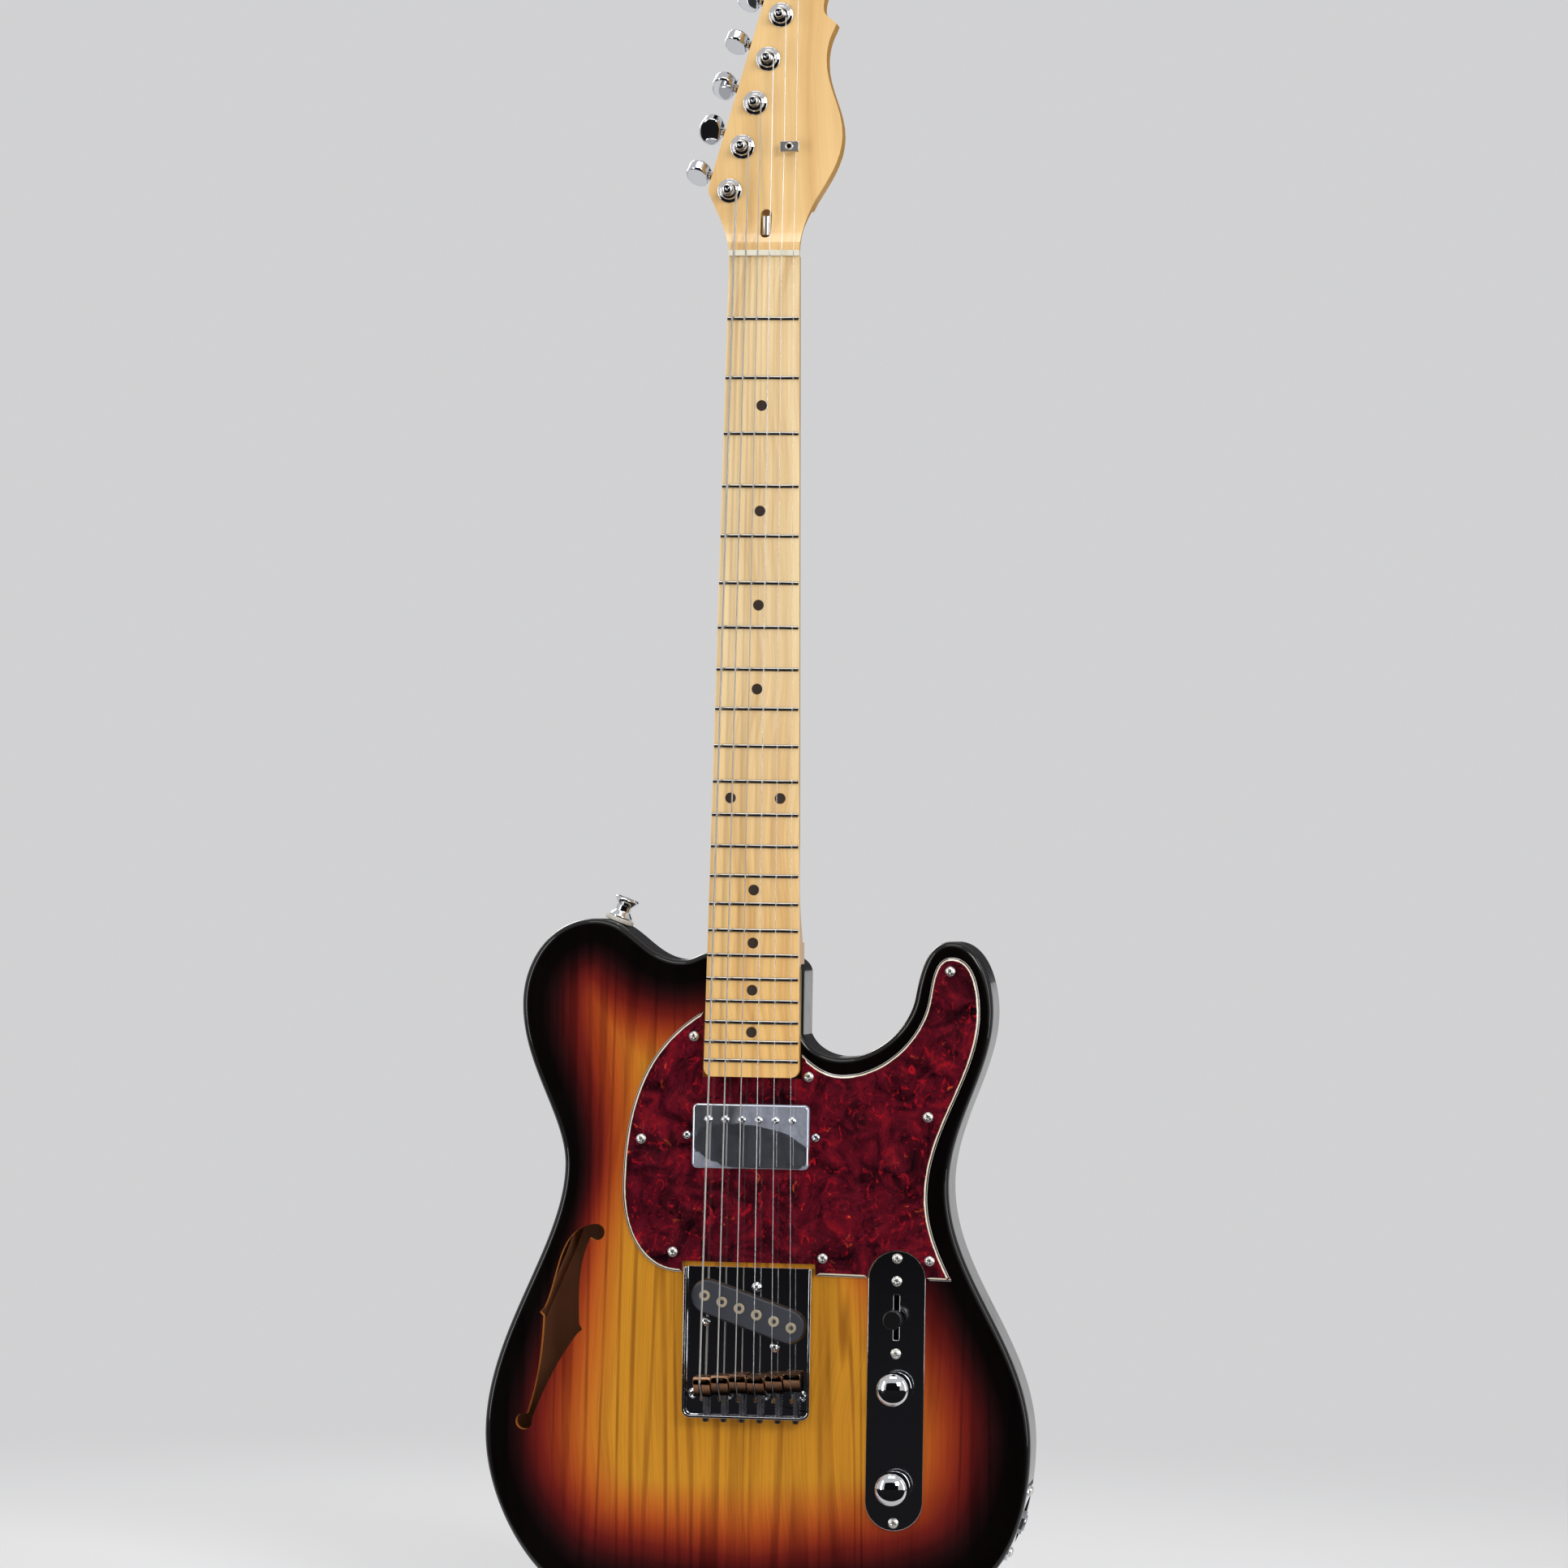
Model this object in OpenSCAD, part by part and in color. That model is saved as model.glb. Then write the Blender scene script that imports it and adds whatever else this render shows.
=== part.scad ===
// Semi-hollow single-cutaway electric guitar, hung upright, front towards -Y, treble side +X.
// Origin: nut, fingerboard side, on the centre line of the playing surface. Millimetres.

/* [Scale and strings] */
// Nut to saddle line
scale_length = 648; // [610:1:680]
// Frets on the board
fret_count = 22; // [19:1:22]
// Outer strings apart at the nut
nut_spread = 34.8; // [32:0.1:37]
// Outer strings apart at the saddles
bridge_spread = 52.5; // [49:0.1:54]
// String centre above the board at the nut
nut_action = 1.8; // [1.5:0.1:2.5]
// String centre above the board at the saddle line
saddle_action = 5.4; // [4.5:0.1:7]
// Thickest string across
low_string_d = 1.17; // [1:0.01:1.3]
// Thinnest string across
high_string_d = 0.26; // [0.2:0.01:0.4]

/* [Neck] */
// Neck width at the nut
nut_w = 41.3; // [38:0.1:45]
// Neck width at the board end
heel_w = 55.6; // [52:0.1:58]
// Board past the last fret
board_overhang = 9.4; // [6:0.1:12]
// Fingerboard thickness
board_t = 5.5; // [4.5:0.1:7]
// Fingerboard crown radius
board_radius = 305; // [180:1:400]
// Corner radius of the board end
board_corner = 5; // [2:0.5:8]
// Neck depth at the nut, board included
neck_depth_nut = 20.5; // [18:0.1:23]
// Neck depth in front of the heel
neck_depth_body = 22.4; // [20:0.1:24]
// Heel depth, board included
heel_depth = 25; // [23:0.1:28]
// Heel block length
heel_len = 78; // [70:1:85]
// Fret crown width
fret_w = 2.4; // [1.8:0.1:3]
// Fret crown height
fret_h = 1.1; // [0.8:0.05:1.5]
// Position dot diameter
dot_d = 6; // [4:0.1:7]
// Twin dots apart at the octave
dot_pair = 29; // [20:0.5:34]
// Nut thickness
nut_t = 3.3; // [3:0.1:5]
// Truss rod diameter
rod_d = 5.8; // [5:0.1:6.5]

/* [Headstock] */
// Head thickness
head_t = 14; // [12:0.1:16]
// Head face behind the playing surface
head_drop = 6.5; // [5:0.1:9]
// Slant of the tuner row
head_slant = 15.6; // [12:0.1:18]
// Tuner to tuner
tuner_pitch = 26.6; // [25:0.1:28]
// First tuner post, above the nut
tuner_first_z = 38.7; // [36:0.1:42]
// First tuner post, from the centre line
tuner_first_x = 21.8; // [20:0.1:24]
// Post diameter
post_d = 6; // [5:0.1:7]
// Post waist where the string winds
post_waist_d = 5; // [4:0.1:5.6]
// Turns of string on a post
wind_turns = 2; // [1:1:3]
// Bushing diameter through the head
bushing_d = 10; // [9:0.1:11]
// Bushing nut diameter
bushing_nut_d = 14.4; // [13:0.1:16]
// Tuner button span along the head
button_w = 18; // [14:0.5:20]
// Tuner button reach outward
button_l = 13; // [10:0.5:15]
// Tuner button thickness
button_t = 7; // [5:0.1:9]
// Gear wheel teeth
gear_teeth = 18; // [12:1:20]

/* [Body] */
// Body thickness
body_t = 44; // [38:0.5:50]
// Thickness of the glued top
top_t = 6; // [4:0.1:8]
// Edge rounding
edge_r = 4; // [2:0.1:5]
// Board surface above the body top
board_rise = 9; // [7:0.1:11]
// Lower bout, bass side
lower_bass = 154.6; // [148:0.1:162]
// Lower bout, treble side
lower_treble = 164.2; // [158:0.1:170]
// Waist, bass side
waist_bass = 110; // [104:0.1:116]
// Waist, treble side
waist_treble = 114.6; // [110:0.1:120]
// Upper bout, bass side
upper_bass = 136.7; // [130:0.1:142]
// Horn, treble side
horn_treble = 138.9; // [134:0.1:144]
// Saddle line to the shoulder top
shoulder_z = 262.6; // [256:0.1:270]
// Saddle line to the horn tip
horn_z = 252.6; // [246:0.1:258]
// Saddle line to the bottom of the cutaway
cutaway_z = 184.5; // [180:0.1:188]
// Saddle line down to the tail
tail_z = 139; // [132:0.1:146]
// Wood left around the hollow chamber
chamber_wall = 13; // [9:0.5:18]
// Wood left behind the cavities
back_wall = 7; // [5:0.1:10]
// Radius of the two sound hole eyes
f_eye_r = 4.8; // [4:0.1:6]

/* [Pickguard and pickups] */
// Pickguard thickness
guard_t = 2.5; // [2:0.1:3.5]
// Pickguard edge bevel
guard_bevel = 1.8; // [0.5:0.1:2]
// Pickguard inside the horn edge
guard_margin = 7.3; // [6:0.1:9]
// Neck pickup cover width
cover_w = 68; // [66:0.1:71]
// Neck pickup cover height
cover_h = 37.5; // [36:0.1:40]
// Neck pickup cover depth
cover_d = 14.5; // [13:0.1:16]
// Neck pickup cover wall
cover_wall = 0.8; // [0.5:0.05:1.2]
// Neck pickup standing above the guard
cover_rise = 4.5; // [3:0.1:6]
// Board end to the neck pickup
cover_gap = 15.6; // [10:0.1:22]
// Neck pickup pole spacing
pole_pitch = 9.75; // [9.4:0.05:10]
// Bridge pickup length
bpu_l = 69; // [66:0.1:72]
// Bridge pickup width
bpu_w = 18.8; // [17:0.1:21]
// Bridge pickup depth
bpu_d = 18; // [16:0.1:20]
// Bridge pickup slant
bpu_slant = 19; // [14:0.5:24]
// Bridge pickup standing above its plate
bpu_rise = 4; // [3:0.1:6]
// Bridge pickup pole diameter
bpole_d = 6.2; // [5:0.1:7]

/* [Bridge] */
// Bridge plate width
bridge_w = 74.4; // [72:0.1:80]
// Bridge plate in front of the saddle line
bridge_front = 62.5; // [60:0.1:66]
// Bridge plate behind the saddle line
bridge_back = 24.5; // [23:0.1:27]
// Bridge plate thickness
plate_t = 1.5; // [1:0.1:2]
// Height of the raised plate walls
wall_h = 8; // [6:0.1:10]
// Saddle width
saddle_w = 9.9; // [8.5:0.1:10]
// Farthest set-back of a saddle
saddle_setback = 4.5; // [2:0.1:5]
// Intonation spring turns
spring_turns = 8; // [5:1:9]
// Intonation spring wire
spring_wire = 0.6; // [0.4:0.05:0.7]
// Intonation screw diameter
into_d = 2.2; // [1.8:0.1:2.4]

/* [Controls] */
// Control plate width
ctrl_w = 33.2; // [31:0.1:36]
// Control plate length
ctrl_l = 161; // [156:0.5:166]
// Control plate from the centre line
ctrl_x = 86; // [84:0.1:88]
// Knob diameter
knob_d = 18.6; // [17:0.1:20]
// Knob height
knob_h = 18; // [15:0.1:20]
// Knob to knob
knob_gap = 57; // [50:0.5:62]
// Pot shaft diameter
pot_shaft_d = 6; // [5:0.1:6.4]
// Running clearance of shafts, on the radius
run_gap = 0.05; // [0.02:0.01:0.09]
// Switch swing to each side
switch_swing = 24; // [15:1:26]
// Switch tip diameter
tip_d = 11; // [9:0.1:12]
// Jack socket bore
jack_bore = 6.4; // [6.35:0.01:6.6]
// Screw pilot clearance, on the radius
pilot_gap = 0.1; // [0.05:0.01:0.2]

/* [Hidden] */
$fn = 48;

// Frets, board and the places that follow from the scale
function fret_z(n) = -scale_length * (1 - pow(2, -n / 12));
board_len = board_overhang - fret_z(fret_count);
neck_end = scale_length - board_len;
top_y = board_rise;
core_y = top_y + top_t;
back_y = top_y + body_t;
guard_y = top_y - guard_t;
plate_y = top_y - plate_t;
cover_y = guard_y - cover_rise;
cover_z = neck_end - cover_gap - cover_h / 2;
head_back = head_drop + head_t;
knob_end = 25.1;
ctrl_z = -6.4;
ctrl_screw = ctrl_l / 2 - 4.5;
switch_z = 35.7;
pivot_y = top_y + 14;
bpu_z = bridge_front - 25.5;
bpu_y = plate_y - bpu_rise;
hole_z = -14;
into_y = top_y - 5;
stripe = [-5, -3, -1, 1, 3, 5];
function string_d(i) = low_string_d * pow(high_string_d / low_string_d, i / 5);
function nut_x(i) = stripe[i] * nut_spread / 10;
function saddle_x(i) = stripe[i] * bridge_spread / 10;
function crown(x) = x * x / (2 * board_radius);
function neck_hw(z) = (nut_w - (heel_w - nut_w) * z / board_len) / 2;

// Curves: a run of points [x, z, heading, reach] joined by smooth spans
function dirv(a) = [cos(a), sin(a)];
function bez(a, b, t) = let (
        d = norm([b[0] - a[0], b[1] - a[1]]), p = [a[0], a[1]], s = [b[0], b[1]],
        q = p + dirv(a[2]) * a[3] * d, r = s - dirv(b[2]) * b[3] * d)
    pow(1 - t, 3) * p + 3 * pow(1 - t, 2) * t * q + 3 * (1 - t) * t * t * r + pow(t, 3) * s;
function run(c, n) = [for (i = [0 : len(c) - 2]) for (j = [0 : n - 1]) bez(c[i], c[i + 1], j / n)];
function inset(p, d) = let (n = len(p)) [for (i = [0 : n - 1]) let (
        e = p[(i + 1) % n] - p[(i + n - 1) % n]) p[i] + d / norm(e) * [-e[1], e[0]]];
function at_y(p, y) = [for (q = p) [q[0], y, q[1]]];
function lift(p, dz) = [for (q = p) [q[0], q[1] + dz]];

// Body outline, z from the saddle line, counter-clockwise seen from the front
heel_x = heel_w / 2 + 1;
heel_z = neck_end + heel_len - 9;
body_curve = [[-heel_x - 1.2, heel_z + 2.1, 200, 0.33], [-43.1, shoulder_z - 23.2, 180, 0.4],
    [-94.1, shoulder_z, 180, 0.4], [-upper_bass, shoulder_z - 49.4, 270, 0.38],
    [-waist_bass, 119, 270, 0.29], [-lower_bass, -36.2, 270, 0.36],
    [-lower_bass + 36.5, 19.3 - tail_z, -42, 0.28], [4, -tail_z, 0, 0.35],
    [lower_treble - 39.2, 14.2 - tail_z, 26, 0.34], [lower_treble, -38.3, 90, 0.38],
    [waist_treble, 112.2, 90, 0.35], [horn_treble, horn_z - 41.1, 90, 0.33],
    [horn_treble - 24.5, horn_z, 180, 0.38], [horn_treble - 45.2, horn_z - 32.6, 260, 0.35],
    [51.5, cutaway_z, 180, 0.35], [heel_x, cutaway_z + 13.2, 113, 0.37]];
heel_curve = [[heel_x, cutaway_z + 13.2, 90, 0.33], [heel_x, heel_z - 9, 90, 0.4],
    [heel_x - 9, heel_z, 180, 0.4], body_curve[0]];
body_pts = concat(run(body_curve, 9), run(heel_curve, 4));
body_fill = fill(body_pts);
jack_t = 0.58;
jack_p = bez(body_curve[8], body_curve[9], jack_t);
strap_t = 0.83;
strap_p = bez(body_curve[1], body_curve[2], strap_t);
function lean(a, b, t) = let (d = bez(a, b, t + 0.01) - bez(a, b, t - 0.01)) atan2(d[0], d[1]);
jack_rot = lean(body_curve[8], body_curve[9], jack_t);
strap_rot = lean(body_curve[1], body_curve[2], strap_t);
rim_y = top_y + body_t / 2;

function side(a, b, c) = (b[0] - a[0]) * (c[1] - a[1]) - (b[1] - a[1]) * (c[0] - a[0]);
function ear_at(p, q, i) = let (n = len(q), a = q[(i + n - 1) % n], b = q[i], c = q[(i + 1) % n])
    side(p[a], p[b], p[c]) > 0 && len([for (j = q) if (j != a && j != b && j != c
        && side(p[a], p[b], p[j]) >= 0 && side(p[b], p[c], p[j]) >= 0
        && side(p[c], p[a], p[j]) >= 0) j]) == 0;
function next_ear(p, q, i) = i >= len(q) - 1 || ear_at(p, q, i) ? i : next_ear(p, q, i + 1);
function ears(p, q) = len(q) == 3 ? [q] : let (n = len(q), i = next_ear(p, q, 0))
    concat([[q[(i + n - 1) % n], q[i], q[(i + 1) % n]]], ears(p, [for (k = [0 : n - 1]) if (k != i) q[k]]));
function fill(p) = ears(p, [for (i = [0 : len(p) - 1]) i]);

// Loft through rings of equal length, its two ends filled flat
module skin(rings, ends = undef, back_ends = undef) {
    n = len(rings[0]);
    m = len(rings);
    cap = is_undef(ends) ? [[for (j = [0 : n - 1]) j]] : ends;
    back_cap = is_undef(back_ends) ? cap : back_ends;
    sides = [for (i = [0 : m - 2]) for (j = [0 : n - 1]) let (k = (j + 1) % n, a = i * n, b = a + n)
        each [[a + j, a + k, b + k], [a + j, b + k, b + j]]];
    front = [for (t = cap) [for (j = [len(t) - 1 : -1 : 0]) t[j]]];
    rear = [for (t = back_cap) [for (j = t) (m - 1) * n + j]];
    polyhedron([for (r = rings) each r], concat(sides, front, rear), convexity = 10);
}
module slab(y0, y1) {
    translate([0, y1, 0]) rotate([90, 0, 0]) linear_extrude(y1 - y0) children();
}
module rod(y0, y1, d) {
    translate([0, y1, 0]) rotate([90, 0, 0]) cylinder(h = y1 - y0, d = d);
}
module at_body() {
    translate([0, 0, -scale_length]) children();
}
module at_rim(p, a) {
    at_body() translate([p[0], rim_y, p[1]]) rotate([0, a, 0]) children();
}
module axle(x0, x1, d) {
    translate([x0, 0, 0]) rotate([0, 90, 0]) cylinder(h = x1 - x0, d = d);
}
module rrect(w, h, r) {
    square([w - 2 * r, h], center = true);
    square([w, h - 2 * r], center = true);
    for (x = [-1, 1], y = [-1, 1])
        translate([x * (w / 2 - r), y * (h / 2 - r)]) circle(r);
}
module stadium(l, w) {
    square([l - w, w], center = true);
    for (x = [-1, 1])
        translate([x * (l - w) / 2, 0]) circle(d = w);
}
module screw(l, d, hd, hh) {
    rod(0, l, d);
    rotate([90, 0, 0]) cylinder(h = hh, d1 = hd, d2 = hd * 0.62);
}
module seg(a, b, d) {
    v = b - a;
    translate(a) rotate([0, acos(v[2] / norm(v)), atan2(v[1], v[0])]) cylinder(h = norm(v), d = d);
}
function unit(v) = v / norm(v);
function cord(p, d, n = 6) = let (m = len(p) - 1) [for (i = [0 : m]) let (
        a = unit(p[max(i, 1)] - p[max(i, 1) - 1]), b = unit(p[min(i + 1, m)] - p[min(i + 1, m) - 1]),
        t = unit(a + b), v = unit(cross(t, [1, 0, 0])), u = cross(v, t), h = a * t,
        w = norm(a - b) < 0.001 ? v : unit(a - b))
    [for (k = [0 : n - 1]) let (o = d / 2 * (cos(360 / n * k) * u - sin(360 / n * k) * v))
        p[i] + o + w * (o * w) * (1 / h - 1)]];
module wire(p, d) {
    skin(cord(p, d));
}
function coil(turns, r, pitch, rings) = [for (i = [0 : turns * rings]) let (a = 360 * i / rings)
    [r * cos(a), r * sin(a), pitch * i / rings]];
function tube(p, d) = [for (i = [0 : len(p) - 1]) let (
        e = p[min(i + 1, len(p) - 1)] - p[max(i - 1, 0)], t = e / norm(e),
        o = [p[i][0], p[i][1], 0] / norm([p[i][0], p[i][1]]), b = cross(t, o))
    [for (k = [0 : 5]) p[i] + d / 2 * (cos(60 * k) * o - sin(60 * k) * b)]];
function self_gap(p, rings, d) = min([for (i = [0 : len(p) - 1 - rings]) norm(p[i + rings] - p[i])]) - d;

// Shared plan shapes, z from the nut for the neck and from the saddle line for the body
function neck_plan(z0, g) = let (c = board_corner, h = neck_hw(-board_len) - c, z = c - board_len)
    concat([[-neck_hw(z0) - g, z0]],
        [for (a = [180 : 15 : 270]) [-h, z] + (c + g) * dirv(a)],
        [for (a = [270 : 15 : 360]) [h, z] + (c + g) * dirv(a)], [[neck_hw(z0) + g, z0]]);
module pocket_plan() {
    polygon(lift(neck_plan(heel_len + 40 - board_len, pilot_gap), scale_length));
}
module bpu_place() {
    translate([0, bpu_z]) rotate(-bpu_slant) children();
}
bpu_lugs = [[-0.3, bpu_w / 2 + 5.4], [-21.5, -bpu_w / 2 - 4.8], [21.5, -bpu_w / 2 - 4.8]];
module bpu_lugs2d(d) {
    bpu_place() for (p = bpu_lugs)
        translate(p) circle(d = d);
}
cover_screw_x = cover_w / 2 + 3.6;
guard_screws = [[-34.5, 195.3], [-64.6, 135.3], [-45, 70.3], [heel_x + 4.1, neck_end + 0.7],
    [horn_treble - 24.7, horn_z - 17.2], [waist_treble - 12, 151.3], [42.7, 68.6],
    [waist_treble - 9.8, 68.6]];
bridge_screw_x = [-32, -10.7, 10.7, 32];
bridge_screw_z = -11;
tone_z = ctrl_z - ctrl_l / 2 + knob_end;
knob_z = [tone_z + knob_gap, tone_z];
switch_hole = 20.8;
bolt_x = 19.05;
bolt_z = [neck_end + 11.5, neck_end + 62.5];
pot_d = 16.5;
jack_flat = 2.6;
jack_hole_d = 22;
jack_screw = 18.6;
ferrule_d = 8;
ferrule_l = 9;
chamber_in = inset(body_pts, chamber_wall);
chamber_x = 52;

module top_cuts() {
    slab(top_y - 1, heel_depth) pocket_plan();
    slab(top_y - 1, top_y + 27) translate([0, cover_z]) rrect(2 * cover_screw_x + 12, cover_h + 5, 5);
    slab(top_y - 1, top_y + 24) union() {
        bpu_place() stadium(bpu_l + 3, bpu_w + 3);
        bpu_lugs2d(12);
    }
    slab(top_y - 1, back_y - back_wall) translate([ctrl_x, ctrl_z]) rotate(90)
        stadium(ctrl_l - 19, ctrl_w - 8);
    for (i = [0 : 5])
        translate([saddle_x(i), 0, hole_z]) rod(top_y - 1, back_y + 1, low_string_d + 1.6);
    for (p = guard_screws)
        translate([p[0], 0, p[1]]) rod(top_y - 1, top_y + 10, 2.8 + 2 * pilot_gap);
    for (x = bridge_screw_x)
        translate([x, 0, bridge_screw_z]) rod(top_y - 1, top_y + 16, 3.4 + 2 * pilot_gap);
    for (s = [-1, 1])
        translate([ctrl_x, 0, ctrl_z + s * ctrl_screw]) rod(top_y - 1, top_y + 11, 2.8 + 2 * pilot_gap);
}
f_top = [-waist_bass + 19.6, 80.4];
f_low = [-waist_bass - 21.3, -30.3];
module f_hole2d() {
    x = -waist_bass;
    polygon(concat(
        run([[x + 18.6, 80.4 + f_eye_r, 186, 0.4], [x - 10.4, 36, 244, 0.34]], 8),
        [[x - 10.4, 36], [x - 13, 33.4], [x - 10.8, 31]],
        run([[x - 10.8, 31, 268, 0.36], [x - 19.8, -26.5, 252, 0.36]], 6),
        [[x - 19.8, -26.5], [x - 16.9, -29.4]],
        run([[x - 16.9, -29.4, 70, 0.36], [x + 9.4, 21.4, 54, 0.34]], 6),
        [[x + 9.4, 21.4], [x + 12.2, 23.8], [x + 10.4, 27]],
        run([[x + 10.4, 27, 92, 0.36], [x + 16, 77, 66, 0.36]], 6),
        [[x + 16, 77], [x + 19.6, 80.4]]));
    translate(f_top) circle(f_eye_r);
    translate(f_low) circle(f_eye_r);
}
module body_core() color("#2a1712") at_body() difference() {
    skin(concat([at_y(body_pts, core_y)], [for (a = [0 : 22.5 : 90])
        at_y(inset(body_pts, edge_r * (1 - cos(a))), back_y - edge_r * (1 - sin(a)))]), body_fill);
    top_cuts();
    slab(core_y - 1, back_y - back_wall) polygon(concat([for (i = [30 : 58]) chamber_in[i]],
        [[-chamber_x, chamber_in[58][1]], [-chamber_x, chamber_in[30][1]]]));
    seg([20, top_y + 20, cover_z], [ctrl_x - 4, top_y + 20, switch_z + 22], 7);
    seg([10, top_y + 18, bpu_z], [ctrl_x - 4, top_y + 18, switch_z - 4], 7);
    for (x = [-bolt_x, bolt_x], z = bolt_z)
        translate([x, 0, z]) rod(heel_depth - 1, back_y + 1, 4.6 + 2 * pilot_gap);
    for (i = [0 : 5])
        translate([saddle_x(i), 0, hole_z]) rod(back_y - ferrule_l, back_y + 1, ferrule_d + 2 * pilot_gap);
    at_rim_local(jack_p, jack_rot) jack_cut();
    at_rim_local(strap_p, strap_rot) axle(-30, 4, 4 + 2 * pilot_gap);
    at_rim_local([4, -tail_z], 90) axle(-30, 4, 4 + 2 * pilot_gap);
}
module at_rim_local(p, a) {
    translate([p[0], rim_y, p[1]]) rotate([0, a, 0]) children();
}
module jack_cut() {
    translate([-jack_flat, -14, -24]) cube([20, 28, 48]);
    axle(-64, 0, jack_hole_d);
    for (s = [-1, 1])
        translate([0, 0, s * jack_screw]) axle(-jack_flat - 12, 0, 2.8 + 2 * pilot_gap);
}
top_edge = min(edge_r, top_t - 0.5);
module body_top() color("#c8862a") at_body() difference() {
    skin(concat([for (a = [90 : -22.5 : 0])
        at_y(inset(body_pts, top_edge * (1 - cos(a))), top_y + top_edge * (1 - sin(a)))],
        [at_y(body_pts, core_y)]), body_fill);
    top_cuts();
    slab(top_y - 1, core_y + 1) f_hole2d();
    at_rim_local(jack_p, jack_rot) translate([-jack_flat, -14, -24]) cube([20, 28, 48]);
}

// Neck: lofted shaft, heel block, flared throat and flat headstock
heel_top = heel_len - board_len;
function neck_ring(z, xl, xr, y0, y1, e) = [for (t = [180 : -10 : 0]) let (c = cos(t), s = max(sin(t), 0),
        u = (abs(c) < 0.0001 ? 0 : sign(c) * pow(abs(c), e)))
    [u < 0 ? -u * xl : u * xr, y0 + (y1 - y0) * pow(s, e), z]];
function shaft_ring(z, y1, e) = neck_ring(z, -neck_hw(z), neck_hw(z), board_t, y1, e);
throat_z = 30;
flare_z = 4;
lobe_z = 33;
corner_z = tuner_first_z;
corner_x = tuner_first_x + 13.1;
function throat_r(z) = nut_w / 2 + 7.85 * pow(max(z - flare_z, 0) / (lobe_z - flare_z), 2);
function throat_l(z) = -nut_w / 2
    - (corner_x - nut_w / 2) * pow(max(z - flare_z, 0) / (corner_z - flare_z), 1.25);
function post_x(i) = -tuner_first_x + i * tuner_pitch * sin(head_slant);
function post_z(i) = tuner_first_z + i * tuner_pitch * cos(head_slant);
edge_a = 270 - head_slant;
head_end = [post_x(5) - 11, post_z(5) + 5];
head_pts = concat([for (z = [throat_z - 2, throat_z, lobe_z - 1]) [throat_r(z), z]],
    run([[throat_r(lobe_z), lobe_z, 59, 0.33], [43.9, 71, 90, 0.36], [33.9, 115, 90, 0.36],
        [39.2, 134.6, 58, 0.33]], 8),
    run([[39.4, 136, 130, 0.3], [31.8, 144, 98, 0.36], [post_x(5) + 20, post_z(5) - 8, 88, 0.36],
        [post_x(5) + 6, post_z(5) + 16, 180, 0.36], [head_end[0], head_end[1], edge_a, 0.36]], 7),
    [head_end],
    run([[-corner_x + 1, corner_z + 3.6, edge_a, 0.4],
        [throat_l(corner_z - 3), corner_z - 3, 297, 0.4]], 4),
    [for (z = [corner_z - 3, throat_z + 2, throat_z, throat_z - 2]) [throat_l(z), z]]);
shelf_y = 1;
scoop_z0 = 8;
scoop_z1 = 26;
scoop_r = (pow(scoop_z1 - scoop_z0, 2) + pow(head_drop - shelf_y, 2)) / (2 * (head_drop - shelf_y));
rod_y = board_t + rod_d / 2 + 0.6;
tree_z = post_z(1) - 0.5;
tree_x = 13.6;
module neck() color("#d9a95a") difference() {
    union() {
        skin([for (r = [[heel_top - 3, heel_depth - 0.2, 0.2], [heel_top + 3, heel_depth - 0.5, 0.25],
            [heel_top + 9, heel_depth - 1.4, 0.4], [heel_top + 16, neck_depth_body + 0.5, 0.62],
            [heel_top + 25, neck_depth_body, 0.82], [heel_top + 40, neck_depth_body - 0.1, 0.88],
            [heel_top / 2, (neck_depth_body + neck_depth_nut) / 2, 0.9], [0, neck_depth_nut, 0.9]])
            shaft_ring(r[0], r[1], r[2])]);
        slab(board_t, heel_depth) polygon(neck_plan(heel_top, 0));
        skin([for (r = [[0, 0.9], [6, 0.86], [12, 0.74], [18, 0.56], [24, 0.36], [throat_z, 0.2]])
            neck_ring(r[0], throat_l(r[0]), throat_r(r[0]), shelf_y,
                neck_depth_nut + (head_back - neck_depth_nut) * r[0] / throat_z, r[1])]);
        slab(head_drop, head_back) polygon(head_pts);
    }
    translate([-60, head_drop - scoop_r, scoop_z1]) rotate([0, 90, 0])
        cylinder(h = 120, r = scoop_r, $fn = 96);
    translate([-60, head_drop - 20, scoop_z1]) cube([120, 20, 40]);
    translate([-60, -5, 0]) cube([120, 5 + nut_seat, nut_t]);
    translate([-rod_d / 2 - 0.3, board_t - 1, 36 - board_len])
        cube([rod_d + 0.6, rod_d + 2, board_len - 24]);
    slab(-1, rod_y + rod_d / 2 + 0.6) translate([0, 19.5]) rotate(90) stadium(17, rod_d + 0.6);
    for (i = [0 : 5]) translate([post_x(i), 0, post_z(i)]) {
        rod(head_drop - 1, head_back + 1, bushing_d + 2 * pilot_gap);
        rotate([0, head_slant, 0]) translate(lug) rod(head_back - 8, head_back + 1, 2 + 2 * pilot_gap);
    }
    translate([tree_x, 0, tree_z]) rod(head_drop - 1, head_drop + 9, 2.4 + 2 * pilot_gap);
    for (x = [-bolt_x, bolt_x], z = bolt_z)
        translate([x, 0, z - scale_length]) rod(board_t + 4, heel_depth + 1, 4.2 + 2 * pilot_gap);
}
nut_seat = 4.2;
lug = [6.6, 0, -9.9];
module on_crown(y) {
    intersection() {
        children();
        translate([0, board_radius + y, -board_len - 10])
            cylinder(h = board_len + 30, r = board_radius, $fn = 720);
    }
}
module fingerboard() color("#ecd09a") difference() {
    on_crown(0) slab(-1, board_t) polygon(neck_plan(0, 0));
    for (n = [1 : fret_count])
        translate([-40, -2, fret_z(n) - 0.3]) cube([80, 2 + tang_h, 0.6]);
    dots_at() rod(-1, 1.6, dot_d + 2 * pilot_gap);
}
tang_h = 2.6;
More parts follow.
